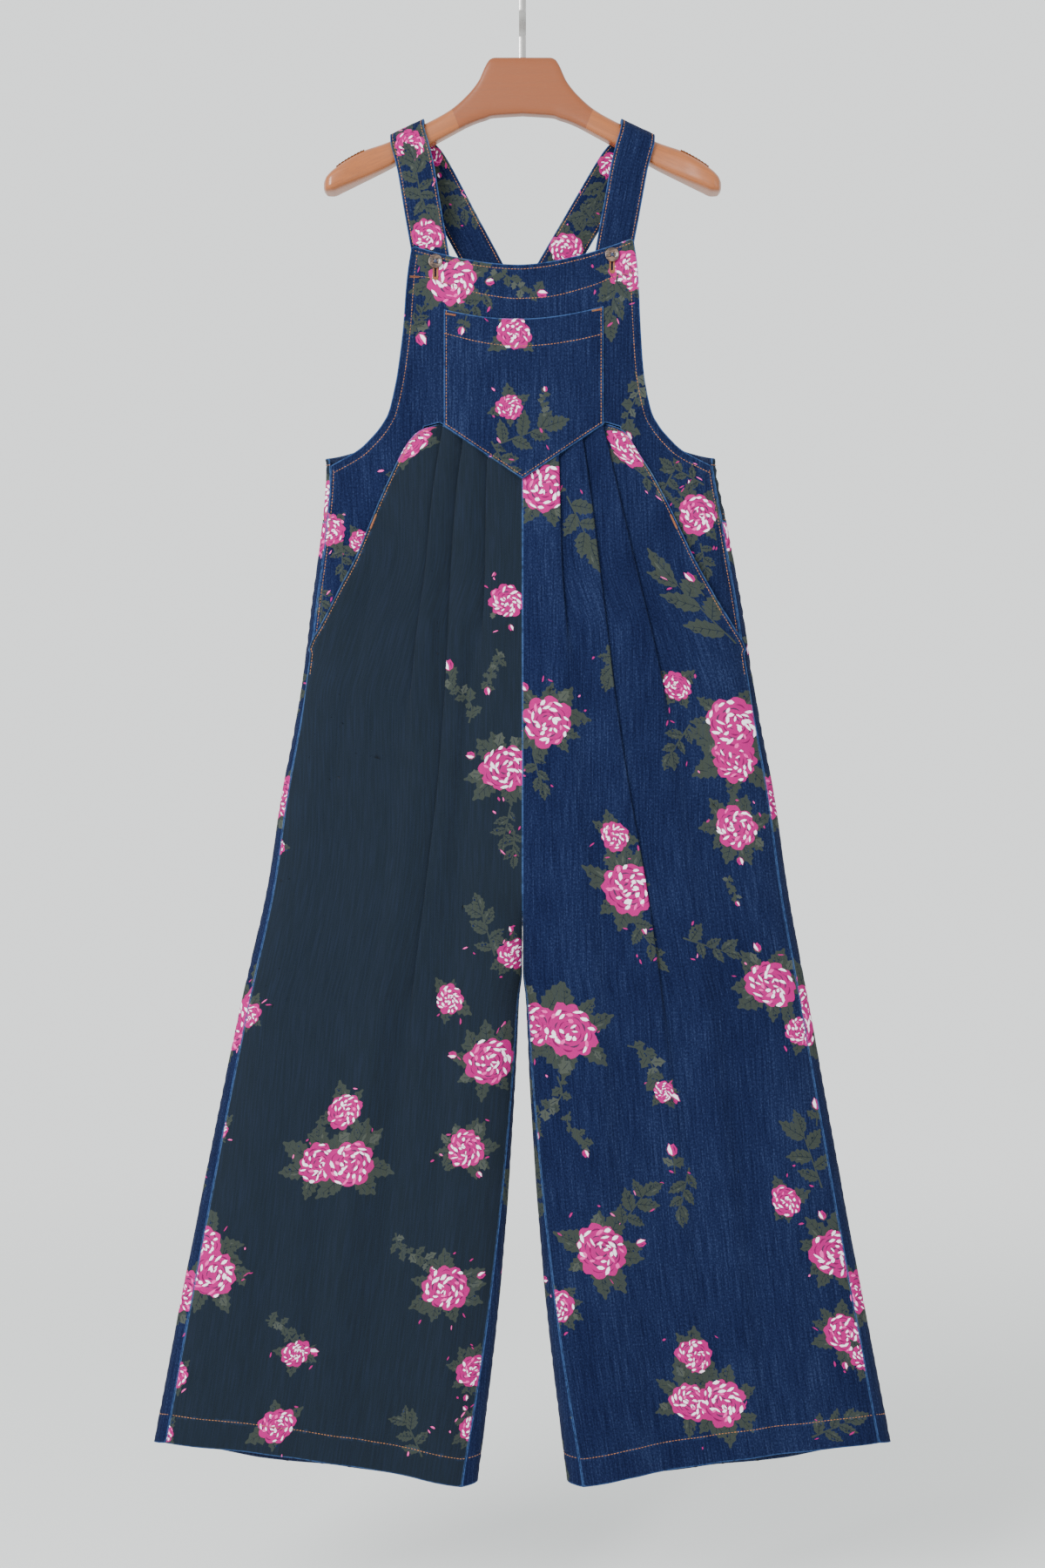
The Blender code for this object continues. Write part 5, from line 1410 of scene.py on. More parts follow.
# ================================================================ the back
@dataclass
class BackPanel:
    """A piece of the back, which goes round the side fold to the side seam."""

    name: str
    drape: Drape
    side: int
    to_middle: bool
    top: float
    bottom: float
    level_step: float = 5 * MM

    def __post_init__(self) -> None:
        """Work out the section at every level."""
        self.levels = np.arange(self.top, self.bottom, -self.level_step)
        self.paths = np.array([self.path(float(z)) for z in self.levels])
        steps = np.linalg.norm(np.diff(self.paths, axis=1), axis=2)
        self.along = np.concatenate([np.zeros((len(steps), 1)), np.cumsum(steps, axis=1)], axis=1)

    def path(self, z: float) -> np.ndarray:
        """Return the section at a level, from the side seam round the back, as (x, y)."""
        drape = self.drape
        turn = np.linspace(0, 1, 40) ** 2
        wide = float(drape.half_width(z))
        seam = float(drape.side_seam(z)) + SEAM
        front_x = seam + (wide - seam) * (1 - turn[::-1])
        front = np.stack([front_x, drape.front_y(front_x, z)], axis=1)
        middle = 0.6 * wide
        back_x = wide - (wide - middle) * turn[1:]
        half = np.vstack([front, np.stack([back_x, drape.back_y(back_x, z)], axis=1)])
        closing = float(drape.closing(z))
        if self.to_middle:
            fold = float(drape.leg_fold(z)) * closing + CENTRE / 2 * (1 - closing)
            inner_x = fold + (middle - fold) * turn[::-1][1:]
            inner = np.stack([inner_x, drape.back_y(inner_x, z)], axis=1)
            wrap = float(drape.inseam_inset(z)) if z < drape.crotch_z else 0.0
            wrap_x = fold + wrap * turn[1:]
            wrapped_y = drape.front_y(wrap_x, z) if wrap > 0 else np.full(39, inner[-1, 1])
            return np.vstack([half, inner, np.stack([wrap_x, wrapped_y], axis=1)])
        across = np.linspace(middle, -middle, 60)[1:-1]
        back = np.stack([across, drape.back_y(across, z)], axis=1)
        return np.vstack([half, back, half[::-1] * (-1, 1)])

    def length(self, z: np.ndarray) -> np.ndarray:
        """Return the section's length at a height."""
        return np.interp(-z, -self.levels, self.along[:, -1])

    def surface(self, flat: np.ndarray) -> np.ndarray:
        """Return flat points laid on the back."""
        at = np.clip((self.top - flat[:, 1]) / self.level_step, 0, len(self.levels) - 1.001)
        level = at.astype(int)
        share = (at - level)[:, None]
        along = self.along[level] * (1 - share) + self.along[level + 1] * share
        paths = self.paths[level] * (1 - share[..., None]) + self.paths[level + 1] * share[..., None]
        cell = np.clip(np.sum(along <= flat[:, :1], axis=1) - 1, 0, along.shape[1] - 2)
        row = np.arange(len(flat))
        part = (flat[:, 0] - along[row, cell]) / np.maximum(along[row, cell + 1] - along[row, cell], 1e-9)
        part = np.clip(part, 0, 1)[:, None]
        xy = paths[row, cell] * (1 - part) + paths[row, cell + 1] * part
        points = np.stack([self.side * xy[:, 0], xy[:, 1], flat[:, 1]], axis=1)
        return self.drape.leaned(points)

    def lay_print(self, table: Sequence[Sequence]) -> list[Shape]:
        """Return a half-drop repeat of a table's motifs in flat coordinates."""
        wide, high = BACK_REPEAT_SIZE
        low = float(self.levels[-1])
        full = float(self.along[:, -1].max())
        shapes = []
        for column in range(int(full / wide) + 2):
            for row in range(-1, 4):
                drop = self.top - row * high - (column % 2) * high / 2
                for across, down, *motif in table:
                    u, z = column * wide + across * MM, drop + down * MM
                    reach = motif[1] * MM / 2
                    if u > full + reach or z > self.top + reach or z < low - reach:
                        continue
                    share = u / full
                    for outline, ink in drawn(*motif):
                        local_z = z + outline[:, 1]
                        axis = share * self.length(local_z)
                        flat = np.stack([axis - self.side * outline[:, 0], local_z], axis=1)
                        shapes.append((flat, ink))
        return shapes


@dataclass
class Back:
    """The back bodice and the two back legs."""

    drape: Drape
    top: Table = (
        (0, -412), (50, -412), (75, -420), (97, -427), (115, -435), (131, -449), (139.5, -466),
        (150.5, -482.5), (160, -490.5), (170, -496.5), (181, -500.5), (193, -504), (208, -507.5))
    waist: float = -575 * MM
    underarm: float = -508 * MM
    top_level: float = -520 * MM
    hem_inner: float = -1588.5 * MM
    hem_outer: float = -1543 * MM
    hem_drop: float = 9 * MM

    def bodice(self) -> tuple[BackPanel, np.ndarray]:
        """Return the bodice's panel and its flat outline."""
        panel = BackPanel("back_bodice", self.drape, 1, False, -404 * MM, -584 * MM)
        top_curve = table_curves(self.top)[0]
        share = np.linspace(0, 1, 160)
        level = np.array([self.top_level])
        length = float(panel.length(level)[0])
        reach = panel.surface(np.stack([share * length, np.full(160, self.top_level)], axis=1))
        top_z = np.where(reach[:, 1] > 0, top_curve(np.abs(reach[:, 0])), self.underarm)
        top = np.stack([share * panel.length(top_z), top_z], axis=1)
        down = np.linspace(self.underarm, self.waist, 16)[1:]
        right = np.stack([panel.length(down), down], axis=1)
        waist_share = np.linspace(1, 0, 90)[1:-1]
        waist = np.stack([waist_share * panel.length(np.array([self.waist]))[0],
                          np.full(88, self.waist)], axis=1)
        left = np.stack([np.zeros(15), down[::-1]], axis=1)
        outline = np.vstack([top, right, waist, left])
        return panel, outline[::-1]

    def leg(self, side: int) -> tuple[BackPanel, np.ndarray]:
        """Return a back leg's panel and its flat outline."""
        name = "back_leg_left" if side < 0 else "back_leg_right"
        start = self.waist - SEAM
        panel = BackPanel(name, self.drape, side, True, start, -1604 * MM)
        top_share = np.linspace(1, 0, 70)
        top = np.stack([top_share * panel.length(np.array([start]))[0], np.full(70, start)], axis=1)
        side_z = np.linspace(start, self.hem_outer, 240)[1:]
        outer = np.stack([np.zeros(239), side_z], axis=1)
        share = np.linspace(0, 1, 140)[1:-1]
        bow = self.hem_drop * ease(share, 0.05, 0.35) * ease(share, 0.95, 0.65)
        hem_z = self.hem_outer + (self.hem_inner - self.hem_outer) * share - bow
        hem = np.stack([share * panel.length(hem_z), hem_z], axis=1)
        inner_z = np.linspace(self.hem_inner, start, 240)[:-1]
        inner = np.stack([panel.length(inner_z), inner_z], axis=1)
        return panel, np.vstack([top, outer, hem, inner])


# ================================================================ straps
@dataclass
class Strap:
    """A strap from behind the bib, over the hanger's arm and down the back. Tables in mm."""

    side: int
    width: float = 39 * MM
    raised: float = 7 * MM      # the right strap is buttoned this much shorter
    # distance from the middle, y, z, lean of the strap's width in degrees
    front: Table = (
        (90.5, -11.0, -336, 9), (94.2, -10.9, -311, 9), (98, -10.8, -287, 9),
        (105, -11.2, -247, 9.5), (112, -12.6, -205, 12), (117, -13.7, -184, 17),
        (120, -13.8, -174, 22))
    # middle of the loop over the arm: x, z, radius, lean
    arm_loop: Sequence[float] = (121.5, -171.8, 13.8, 25.5)
    # distance from the middle of the left and the right strap, y of both, z, lean
    back: Table = (
        (117, 117, 13.8, 13.8, -174, 27), (104, 104.5, 13.6, 13.6, -187, 28.5),
        (91, 91, 12.9, 12.9, -208, 28.5), (66.5, 64, 12.5, 12.5, -254.6, 28.5),
        (48, 44, 13, 12.6, -288.8, 29), (25.5, 19.5, 15.3, 12.5, -331, 29.5),
        (4, -2.5, 15.4, 12.4, -370, 29.5), (-12.5, -19, 15.3, 12.4, -400, 29.5),
        (-20.5, -27, 14.2, 12.5, -414, 29.5), (-33, -39, 13.2, 12.8, -437, 29.5))

    def __post_init__(self) -> None:
        """Work out the strap's route, with its lean as a fourth column."""
        raised = self.raised / MM if self.side > 0 else 0.0
        front = [(x, y, z + raised * float(ease(z, -180, -300)), tilt)
                 for x, y, z, tilt in self.front]
        x, z, radius, tilt = self.arm_loop
        loop = [(x, -radius * math.cos(a), z + radius * math.sin(a), tilt)
                for a in np.radians([25, 50, 75, 105, 130, 155])]
        column = 0 if self.side < 0 else 1
        back = [(row[column], row[2 + column], row[4], row[5]) for row in self.back]
        self.route = through(np.array(front + loop + back) * (MM, MM, MM, 1), 220)
        self.along = lengths(self.route)

    @property
    def length(self) -> float:
        """Return the strap's length."""
        return float(self.along[-1])

    def surface(self, flat: np.ndarray) -> np.ndarray:
        """Return flat points, across and along, laid on the strap's route."""
        x, y, z, tilt = [np.interp(flat[:, 1], self.along, column) for column in self.route.T]
        tilt = np.radians(tilt)
        across = flat[:, 0]
        return np.stack([self.side * x + across * np.cos(tilt), y,
                         z - across * self.side * np.sin(tilt)], axis=1)

    def outline(self) -> np.ndarray:
        """Return the strap's flat outline, turning left."""
        half = self.width / 2
        up = np.linspace(0, self.length, 190)
        across = np.linspace(-half, half, 12)[1:-1]
        right = np.stack([np.full(190, half), up], axis=1)
        top = np.stack([across[::-1], np.full(10, self.length)], axis=1)
        left = np.stack([np.full(190, -half), up[::-1]], axis=1)
        bottom = np.stack([across, np.zeros(10)], axis=1)
        return np.vstack([right, top, left, bottom])


# ================================================================ buttons
@dataclass
class Button:
    """A dished four-hole button, sewn on with a cross of thread."""

    side: int
    drape: Drape
    x: float
    z: float
    radius: float = 7.5 * MM
    thick: float = 2.6 * MM
    shank: float = 1.2 * MM
    hole: float = 0.75 * MM
    spread: float = 1.55 * MM
    dish: float = 0.7 * MM
    turns: int = 64

    def build(self, material: bpy.types.Material) -> bpy.types.Object:
        """Make the button with its four holes cut through."""
        bib = float(self.drape.front_y(np.array(self.x), np.array(self.z)))
        back = bib - DENIM / 2 - LAYER
        front = back - self.thick
        end = bib + DENIM / 2 + 0.1 * MM
        self.face = front + self.dish
        profile = [
            (self.shank, end), (self.shank, back), (self.radius - 1.6 * MM, back),
            (self.radius - 0.8 * MM, back - 0.25 * MM), (self.radius - 0.15 * MM, back - 0.9 * MM),
            (self.radius, back - 1.5 * MM), (self.radius - 0.1 * MM, front + 0.45 * MM),
            (self.radius - 0.45 * MM, front + 0.1 * MM), (self.radius - 0.9 * MM, front),
            (self.radius - 1.5 * MM, front + 0.05 * MM), (self.radius - 2.0 * MM, front + 0.3 * MM),
            (self.radius - 2.6 * MM, self.face), (self.radius * 0.35, self.face + 0.05 * MM)]
        turn = np.linspace(0, 2 * math.pi, self.turns, endpoint=False)
        rings = [np.stack([self.x + r * np.cos(turn), np.full(self.turns, y),
                           self.z + r * np.sin(turn)], axis=1) for r, y in profile]
        name = "button_left" if self.side < 0 else "button_right"
        piece = outward(collect(f"{name}_horn", *loft(rings), [material]), 50)
        for dx in (-1, 1):
            for dz in (-1, 1):
                self.drill(piece, self.x + dx * self.spread, self.z + dz * self.spread, front, back)
        return piece

    def drill(self, piece: bpy.types.Object, x: float, z: float, front: float, back: float) -> None:
        """Cut one thread hole into the button."""
        turn = np.linspace(0, 2 * math.pi, 14, endpoint=False)
        rings = [np.stack([x + self.hole * np.cos(turn), np.full(14, y), z + self.hole * np.sin(turn)],
                          axis=1) for y in (front - 1 * MM, back - 0.3 * MM)]
        cutter = outward(collect("drill", *loft(rings), []))
        cut = piece.modifiers.new("hole", "BOOLEAN")
        cut.operation = "DIFFERENCE"
        cut.object = cutter
        settle(piece)
        bpy.data.objects.remove(cutter)

    def thread(self, material: bpy.types.Material) -> bpy.types.Object:
        """Make the cross of thread through the button's holes."""
        parts = []
        for sign in (-1, 1):
            for strand in (-0.22 * MM, 0.22 * MM):
                t = np.linspace(-1, 1, 13)
                reach = t * self.spread
                lift = self.face + 0.6 * MM - 0.95 * MM * (1 - t ** 6)
                path = np.stack([self.x + reach + strand, lift, self.z + sign * reach - strand * sign],
                                axis=1)
                parts.append(tube(path, 0.24 * MM, 6))
        name = "button_left" if self.side < 0 else "button_right"
        return outward(collect(f"{name}_thread", *joined(parts), [material]), 60)


def settle(piece: bpy.types.Object) -> None:
    """Turn a piece's modifiers into its plain mesh."""
    graph = bpy.context.evaluated_depsgraph_get()
    mesh = bpy.data.meshes.new_from_object(piece.evaluated_get(graph))
    old = piece.data
    piece.modifiers.clear()
    piece.data = mesh
    bpy.data.meshes.remove(old)


# ================================================================ the hanger
@dataclass
class Hanger:
    """A wooden hanger: a deep block in the middle and two arms that flare to rounded tips."""

    # distance from the middle, top z, bottom z, half depth, squareness of the section
    sections: Table = (
        (0, -85.5, -144.6, 10, 6), (29, -85.5, -146.5, 10, 6), (34, -87, -147.2, 10, 6),
        (38.5, -93, -149.2, 10, 5.5), (46, -109.5, -151.5, 10, 5), (58, -124.5, -156.5, 10, 4),
        (76, -139.8, -166, 10.2, 2.8), (102, -154, -180, 10.4, 2.3), (122, -163.5, -190.5, 10.6, 2.3),
        (141, -173.5, -201, 11.4, 2.3), (169, -184, -214.5, 14.5, 2.6), (190, -196.5, -224, 18, 2.6),
        (200, -204.5, -228, 18.6, 2.6), (206, -210.5, -228, 16, 2.5), (209, -215.5, -225.5, 9, 2.2))
    points: int = 56
    underside_square: float = 4.5
    grip_from: float = 167 * MM
    grip_to: float = 196 * MM
    grip_arc: tuple[float, float] = (58, 122)
    grip_thick: float = 1.0 * MM
    grip_ribs: int = 9
    hook_width: float = 7.4 * MM
    hook_thick: float = 3.0 * MM
    hook_radius: float = 18 * MM
    hook_bevel: float = 0.6 * MM
    crank_low: float = -63 * MM
    crank_high: float = -39 * MM
    socket: float = 13 * MM
    hook_open: float = 205.0

    def __post_init__(self) -> None:
        """Turn the table into curves."""
        self.curves = table_curves(self.sections)

    def ring(self, x: float, grow: float, degrees: np.ndarray) -> np.ndarray:
        """Return points of the section at x, grown outwards, at the given degrees."""
        top, bottom, depth, square = (float(curve(abs(x))) for curve in self.curves)
        angle = np.radians(degrees)
        c, s = np.cos(angle), np.sin(angle)
        upper = 2 / (square / MM)
        power = np.where(s > 0, upper, min(upper, 2 / self.underside_square))
        y = (depth + grow) * np.sign(c) * np.abs(c) ** power
        z = (top + bottom) / 2 + ((top - bottom) / 2 + grow) * np.sign(s) * np.abs(s) ** power
        return np.stack([np.full(len(y), x), y, z], axis=1)

    def body(self, material: bpy.types.Material) -> bpy.types.Object:
        """Make the wooden body with the hook's socket."""
        half = np.concatenate([np.arange(0, 200, 2.5), np.linspace(200, 209, 12)]) * MM
        steps = np.concatenate([-half[:0:-1], half])
        degrees = (np.arange(self.points) + 0.5) * 360 / self.points
        rings = [self.ring(float(x), 0.0, degrees) for x in steps]
        piece = outward(collect("hanger_body_wood", *loft(rings), [material]), 50)
        top = self.sections[0][1] * MM
        wide, thick = self.hook_width / 2 + 0.35 * MM, self.hook_thick / 2 + 0.35 * MM
        box = [np.array([(-wide, -thick, z), (wide, -thick, z), (wide, thick, z), (-wide, thick, z)])
               for z in (top - self.socket - 0.5 * MM, top + 10 * MM)]
        cutter = outward(collect("socket", *loft(box), []))
        cut = piece.modifiers.new("socket", "BOOLEAN")
        cut.operation = "DIFFERENCE"
        cut.object = cutter
        settle(piece)
        bpy.data.objects.remove(cutter)
        return piece

    def hook(self, material: bpy.types.Material) -> bpy.types.Object:
        """Make the hook: a flat strip, cranked and bent to a bow across the hanger."""
        radius = self.hook_radius + self.hook_thick / 2
        wood = self.sections[0][1] * MM - self.socket
        rise = self.crank_high - self.crank_low
        crank = [(-radius * float(ease(t, 0, 1)), self.crank_low + rise * t)
                 for t in np.linspace(0, 1, 17)]
        bow = [(-radius * math.cos(a), -self.hook_radius + radius * math.sin(a))
               for a in np.radians(np.linspace(0, self.hook_open, 50))]
        tip_y, tip_z = bow[-1]
        tip = [(tip_y + 1.5 * MM, tip_z - 7 * MM), (tip_y + 5 * MM, tip_z - 12 * MM)]
        route = np.array([(0, wood), *crank, *bow, *tip])
        ahead = unit(np.diff(route, axis=0))
        direction = unit(np.vstack([ahead[:1], ahead[:-1] + ahead[1:], ahead[-1:]]))
        wide, thick, bevel = self.hook_width / 2, self.hook_thick / 2, self.hook_bevel
        soft = bevel * 0.3
        corners = []
        for sx, st in ((1, 1), (-1, 1), (-1, -1), (1, -1)):
            corner = [(wide, thick - bevel), (wide - soft, thick - soft), (wide - bevel, thick)]
            turned = corner if sx * st > 0 else corner[::-1]
            corners += [(sx * x, st * t) for x, t in turned]
        rings = [np.array([(x, y - dz * t, z + dy * t) for x, t in corners])
                 for (y, z), (dy, dz) in zip(route, direction)]
        return outward(collect("hanger_hook_strip", *loft(rings), [material]), 40)

    def grip(self, side: int, material: bpy.types.Material) -> bpy.types.Object:
        """Make one ribbed anti-slip strip on the end of an arm."""
        steps = np.linspace(self.grip_from, self.grip_to, self.grip_ribs * 8 + 1)
        degrees = np.linspace(*self.grip_arc, 13)
        rings = []
        for number, x in enumerate(steps):
            rib = 0.25 * MM * math.cos(2 * math.pi * number / 8)
            upper = self.ring(side * x, 0.3 * MM + self.grip_thick - 0.25 * MM + rib, degrees)
            lower = self.ring(side * x, 0.3 * MM, degrees)
            rings.append(np.vstack([upper, lower[::-1]]))
        name = "left" if side < 0 else "right"
        return outward(collect(f"hanger_grip_{name}_strip", *loft(rings), [material]), 50)


# ================================================================ finishes
class Shader:
    """A material's node tree, built up node by node."""

    def __init__(self, name: str) -> None:
        """Start a material with a Principled shader."""
        self.material = bpy.data.materials.new(name)
        self.material.use_nodes = True
        self.tree = self.material.node_tree
        self.base = self.tree.nodes["Principled BSDF"]

    def node(self, kind: str, settings: dict[str, object] | None = None,
             **links: object) -> bpy.types.Node:
        """Add a node.

        Args:
            kind: the node's type, without its ShaderNode prefix.
            settings: its properties.
            **links: for each input, by its name or by i and its number, a socket or a value.

        Returns:
            The new node.
        """
        node = self.tree.nodes.new("ShaderNode" + kind)
        for key, value in (settings or {}).items():
            setattr(node, key, value)
        self.connect(node, links)
        return node

    def connect(self, node: bpy.types.Node, links: dict[str, object]) -> None:
        """Link sockets to a node's inputs, or set their values."""
        for key, value in links.items():
            index = int(key[1:]) if key[1:].isdigit() else key.replace("_", " ")
            if isinstance(value, bpy.types.NodeSocket):
                self.tree.links.new(value, node.inputs[index])
            else:
                node.inputs[index].default_value = value

    def math(self, operation: str, *values: object) -> bpy.types.NodeSocket:
        """Return the result of a sum on sockets and numbers."""
        inputs = {f"i{number}": value for number, value in enumerate(values)}
        return self.node("Math", {"operation": operation}, **inputs).outputs[0]

    def mix(self, share: object, first: object, second: object,
            blend: str = "MIX") -> bpy.types.NodeSocket:
        """Return a mix of two colours."""
        settings = {"data_type": "RGBA", "blend_type": blend}
        return self.node("Mix", settings, i0=share, i6=first, i7=second).outputs[2]

    def span(self, value: object, low: float, high: float, start: float = 0.0,
             end: float = 1.0) -> bpy.types.NodeSocket:
        """Return a value moved smoothly from one range to another, held at its ends."""
        return self.node("MapRange", {"interpolation_type": "SMOOTHSTEP"}, i0=value, i1=low, i2=high,
                         i3=start, i4=end).outputs[0]

    def grain(self, vector: bpy.types.NodeSocket, sizes: Sequence[float], detail: float = 2.0,
              shift: float = 0.0) -> bpy.types.NodeSocket:
        """Return a noise whose features have the given sizes in metres."""
        scale = [1 / size for size in sizes] + [1.0] * (3 - len(sizes))
        moved = self.node("Mapping", i0=vector, i1=(shift, shift, shift), i3=scale).outputs[0]
        return self.node("TexNoise", Vector=moved, Scale=1.0, Detail=detail, Roughness=0.6).outputs[0]

    def bump(self, height: bpy.types.NodeSocket, distance: float,
             strength: float = 1.0) -> bpy.types.NodeSocket:
        """Return the normal of a height pattern of a depth in metres."""
        return self.node("Bump", Strength=strength, Distance=distance, Height=height).outputs[0]

    def finish(self, **links: object) -> bpy.types.Material:
        """Link or set the Principled shader's inputs and return the material."""
        self.connect(self.base, links)
        return self.material


@dataclass(frozen=True)
class Denim:
    """Indigo ring-spun twill, stonewashed: speckled, streaked along the warp, pale at its edges."""

    name: str
    dark: str = "#040c28"
    middle: str = "#0e1836"
    light: str = "#242f4d"
    worn: str = "#3f5e90"
    wear: float = 1.0
    twill_pitch: float = 2.0 * MM       # real twill is 0.9 mm, too fine to show in the render
    speck: tuple[float, float] = (1.5 * MM, 2.2 * MM)       # likewise twice its real size
    slub: tuple[float, float] = (1.7 * MM, 45 * MM)
    tone: tuple[float, float] = (55 * MM, 170 * MM)
    worn_edge: float = 1.5 * MM
    rope: float = 5 * MM                # pale patches where a seam puckers
    sheen: float = 0.02
    depth: float = 0.16 * MM

    def make(self) -> bpy.types.Material:
        """Make the material: it gives the eye a grainy blue with worn, roped seams."""
        shader = Shader(self.name)
        cut = shader.node("UVMap", {"uv_map": "cut"}).outputs[0]
        speck = shader.grain(cut, self.speck, 3.0)
        slub = shader.grain(cut, self.slub, 2.0, 3.1)
        tone = shader.grain(cut, self.tone, 2.0, 7.7)
        parts = shader.node("SeparateXYZ", i0=cut).outputs
        across = shader.math("ADD", shader.math("MULTIPLY", parts[0], 1.25), parts[1])
        turns = shader.math("MULTIPLY", across, 2 * math.pi / self.twill_pitch)
        twill = shader.math("SINE", turns)
        value = shader.math("ADD", shader.math("MULTIPLY", speck, 0.62),
                            shader.math("MULTIPLY", slub, 0.42))
        value = shader.math("ADD", value, shader.math("MULTIPLY", tone, 0.22))
        value = shader.math("ADD", value, shader.math("MULTIPLY", twill, 0.018))
        lower = shader.mix(shader.span(value, 0.50, 0.65), linear(self.dark), linear(self.middle))
        blue = shader.mix(shader.span(value, 0.64, 0.82), lower, linear(self.light))
        dye = shader.node("Attribute", {"attribute_name": "ink"}).outputs
        cover = shader.math("MULTIPLY", dye["Alpha"], shader.span(value, 0.38, 0.62, 0.70, 0.97))
        washed = shader.mix(shader.span(slub, 0.35, 0.75, 0.0, 0.14), dye["Color"], linear(self.light))
        colour = shader.mix(cover, blue, washed)
        edge = shader.node("Attribute", {"attribute_name": "edge"}).outputs["Fac"]
        seam = shader.node("Attribute", {"attribute_name": "seam"}).outputs["Fac"]
        patch = shader.grain(cut, (self.rope, self.rope), 2.0, 1.3)
        rubbed = shader.math("MULTIPLY", shader.span(edge, 0.2 * MM, self.worn_edge, 1.0, 0.0),
                             shader.span(patch, 0.3, 0.6, 0.35, 1.0))
        roped = shader.math("MULTIPLY", shader.span(seam, 0.6 * MM, 3.5 * MM, 0.16, 0.0),
                            shader.span(patch, 0.46, 0.66))
        wear = shader.math("MULTIPLY", shader.math("MAXIMUM", rubbed, roped), 0.62 * self.wear)
        colour = shader.mix(wear, colour, linear(self.worn))
        height = shader.math("ADD", speck, shader.math("MULTIPLY", twill, 0.35))
        return shader.finish(Base_Color=colour, Roughness=0.88, Sheen_Weight=self.sheen,
                             Sheen_Roughness=0.5, Specular_IOR_Level=0.08,
                             Normal=shader.bump(height, self.depth))


@dataclass(frozen=True)
class Beech:
    """Steamed beech under a clear gloss varnish, glued up from a block and two arms."""

    name: str = "varnished steamed beech"
    block: str = "#7b3c10"
    arm: str = "#914f1e"
    dark: str = "#6f3a18"
    fleck: str = "#7c4520"
    joint_x: float = 74 * MM            # the glued joint, at joint_z; it slants outwards upwards
    joint_z: float = -141 * MM
    joint_slant: float = 0.393
    arm_slope: float = 25.0             # degrees that the arms' grain falls
    grain: tuple[float, float, float] = (70 * MM, 2.2 * MM, 2.2 * MM)
    ray: tuple[float, float, float] = (4.5 * MM, 0.6 * MM, 0.6 * MM)    # beech's small dark rays

    def make(self) -> bpy.types.Material:
        """Make the material: it gives the eye orange wood with dashes along its grain, and gloss."""
        shader = Shader(self.name)
        place = shader.node("TexCoord").outputs["Object"]
        x, y, z = shader.node("SeparateXYZ", i0=place).outputs
        reach = shader.math("ABSOLUTE", x)
        turned = math.radians(self.arm_slope)
        along = shader.math("SUBTRACT", shader.math("MULTIPLY", reach, math.cos(turned)),
                            shader.math("MULTIPLY", z, math.sin(turned)))
        across = shader.math("ADD", shader.math("MULTIPLY", reach, math.sin(turned)),
                             shader.math("MULTIPLY", z, math.cos(turned)))
        arm_grain = shader.node("CombineXYZ", i0=along, i1=across, i2=y).outputs[0]
        block_grain = shader.node("CombineXYZ", i0=x, i1=z, i2=y).outputs[0]
        line = shader.math("MULTIPLY_ADD", z, self.joint_slant,
                           self.joint_x - self.joint_slant * self.joint_z)
        past = shader.math("SUBTRACT", reach, line)
        in_arm = shader.math("GREATER_THAN", past, 0.0)
        grain = shader.node("Mix", {"data_type": "VECTOR"}, i0=in_arm, i4=block_grain,
                            i5=arm_grain).outputs[1]
        figure = shader.grain(grain, self.grain, 4.0)
        rays = shader.grain(grain, self.ray, 1.0, 5.0)
        wood = shader.mix(in_arm, linear(self.block), linear(self.arm))
        wood = shader.mix(shader.span(figure, 0.35, 0.75, 0.0, 0.42), wood, linear(self.dark))
        wood = shader.mix(shader.span(rays, 0.60, 0.68, 0.0, 0.5), wood, linear(self.fleck))
        glue = shader.span(shader.math("ABSOLUTE", past), 0.15 * MM, 0.7 * MM, 0.6, 0.0)
        wood = shader.mix(glue, wood, linear(self.dark))
        return shader.finish(Base_Color=wood, Roughness=0.38, Coat_Weight=0.25, Coat_Roughness=0.15,
                             Normal=shader.bump(figure, 0.1 * MM))


@dataclass(frozen=True)
class Nickel:
    """Steel strip plated with satin nickel, brushed along its length."""

    name: str = "satin nickel plate"
    colour: str = "#a7a5a3"
    brush: tuple[float, float, float] = (0.35 * MM, 9 * MM, 9 * MM)

    def make(self) -> bpy.types.Material:
        """Make the material: it gives the eye a soft grey shine with faint lengthwise lines."""
        shader = Shader(self.name)
        place = shader.node("TexCoord").outputs["Object"]
        lines = shader.grain(place, self.brush, 2.0)
        return shader.finish(Base_Color=linear(self.colour), Metallic=1.0,
                             Roughness=shader.span(lines, 0.3, 0.7, 0.24, 0.36),
                             Normal=shader.bump(lines, 0.02 * MM))


@dataclass(frozen=True)
class Horn:
    """Polished dark horn, streaked, with a paler turned rim."""

    name: str = "polished horn"
    dark: str = "#2a1a14"
    pale: str = "#6f5644"
    streak: tuple[float, float, float] = (6 * MM, 6 * MM, 1.1 * MM)

    def make(self) -> bpy.types.Material:
        """Make the material: it gives the eye a deep brown gloss with smoky streaks."""
        shader = Shader(self.name)
        place = shader.node("TexCoord").outputs["Object"]
        streaks = shader.grain(place, self.streak, 3.0)
        colour = shader.mix(shader.span(streaks, 0.42, 0.66), linear(self.dark), linear(self.pale))
        return shader.finish(Base_Color=colour, Roughness=0.26, Coat_Weight=0.4, Coat_Roughness=0.1,
                             Normal=shader.bump(streaks, 0.03 * MM))


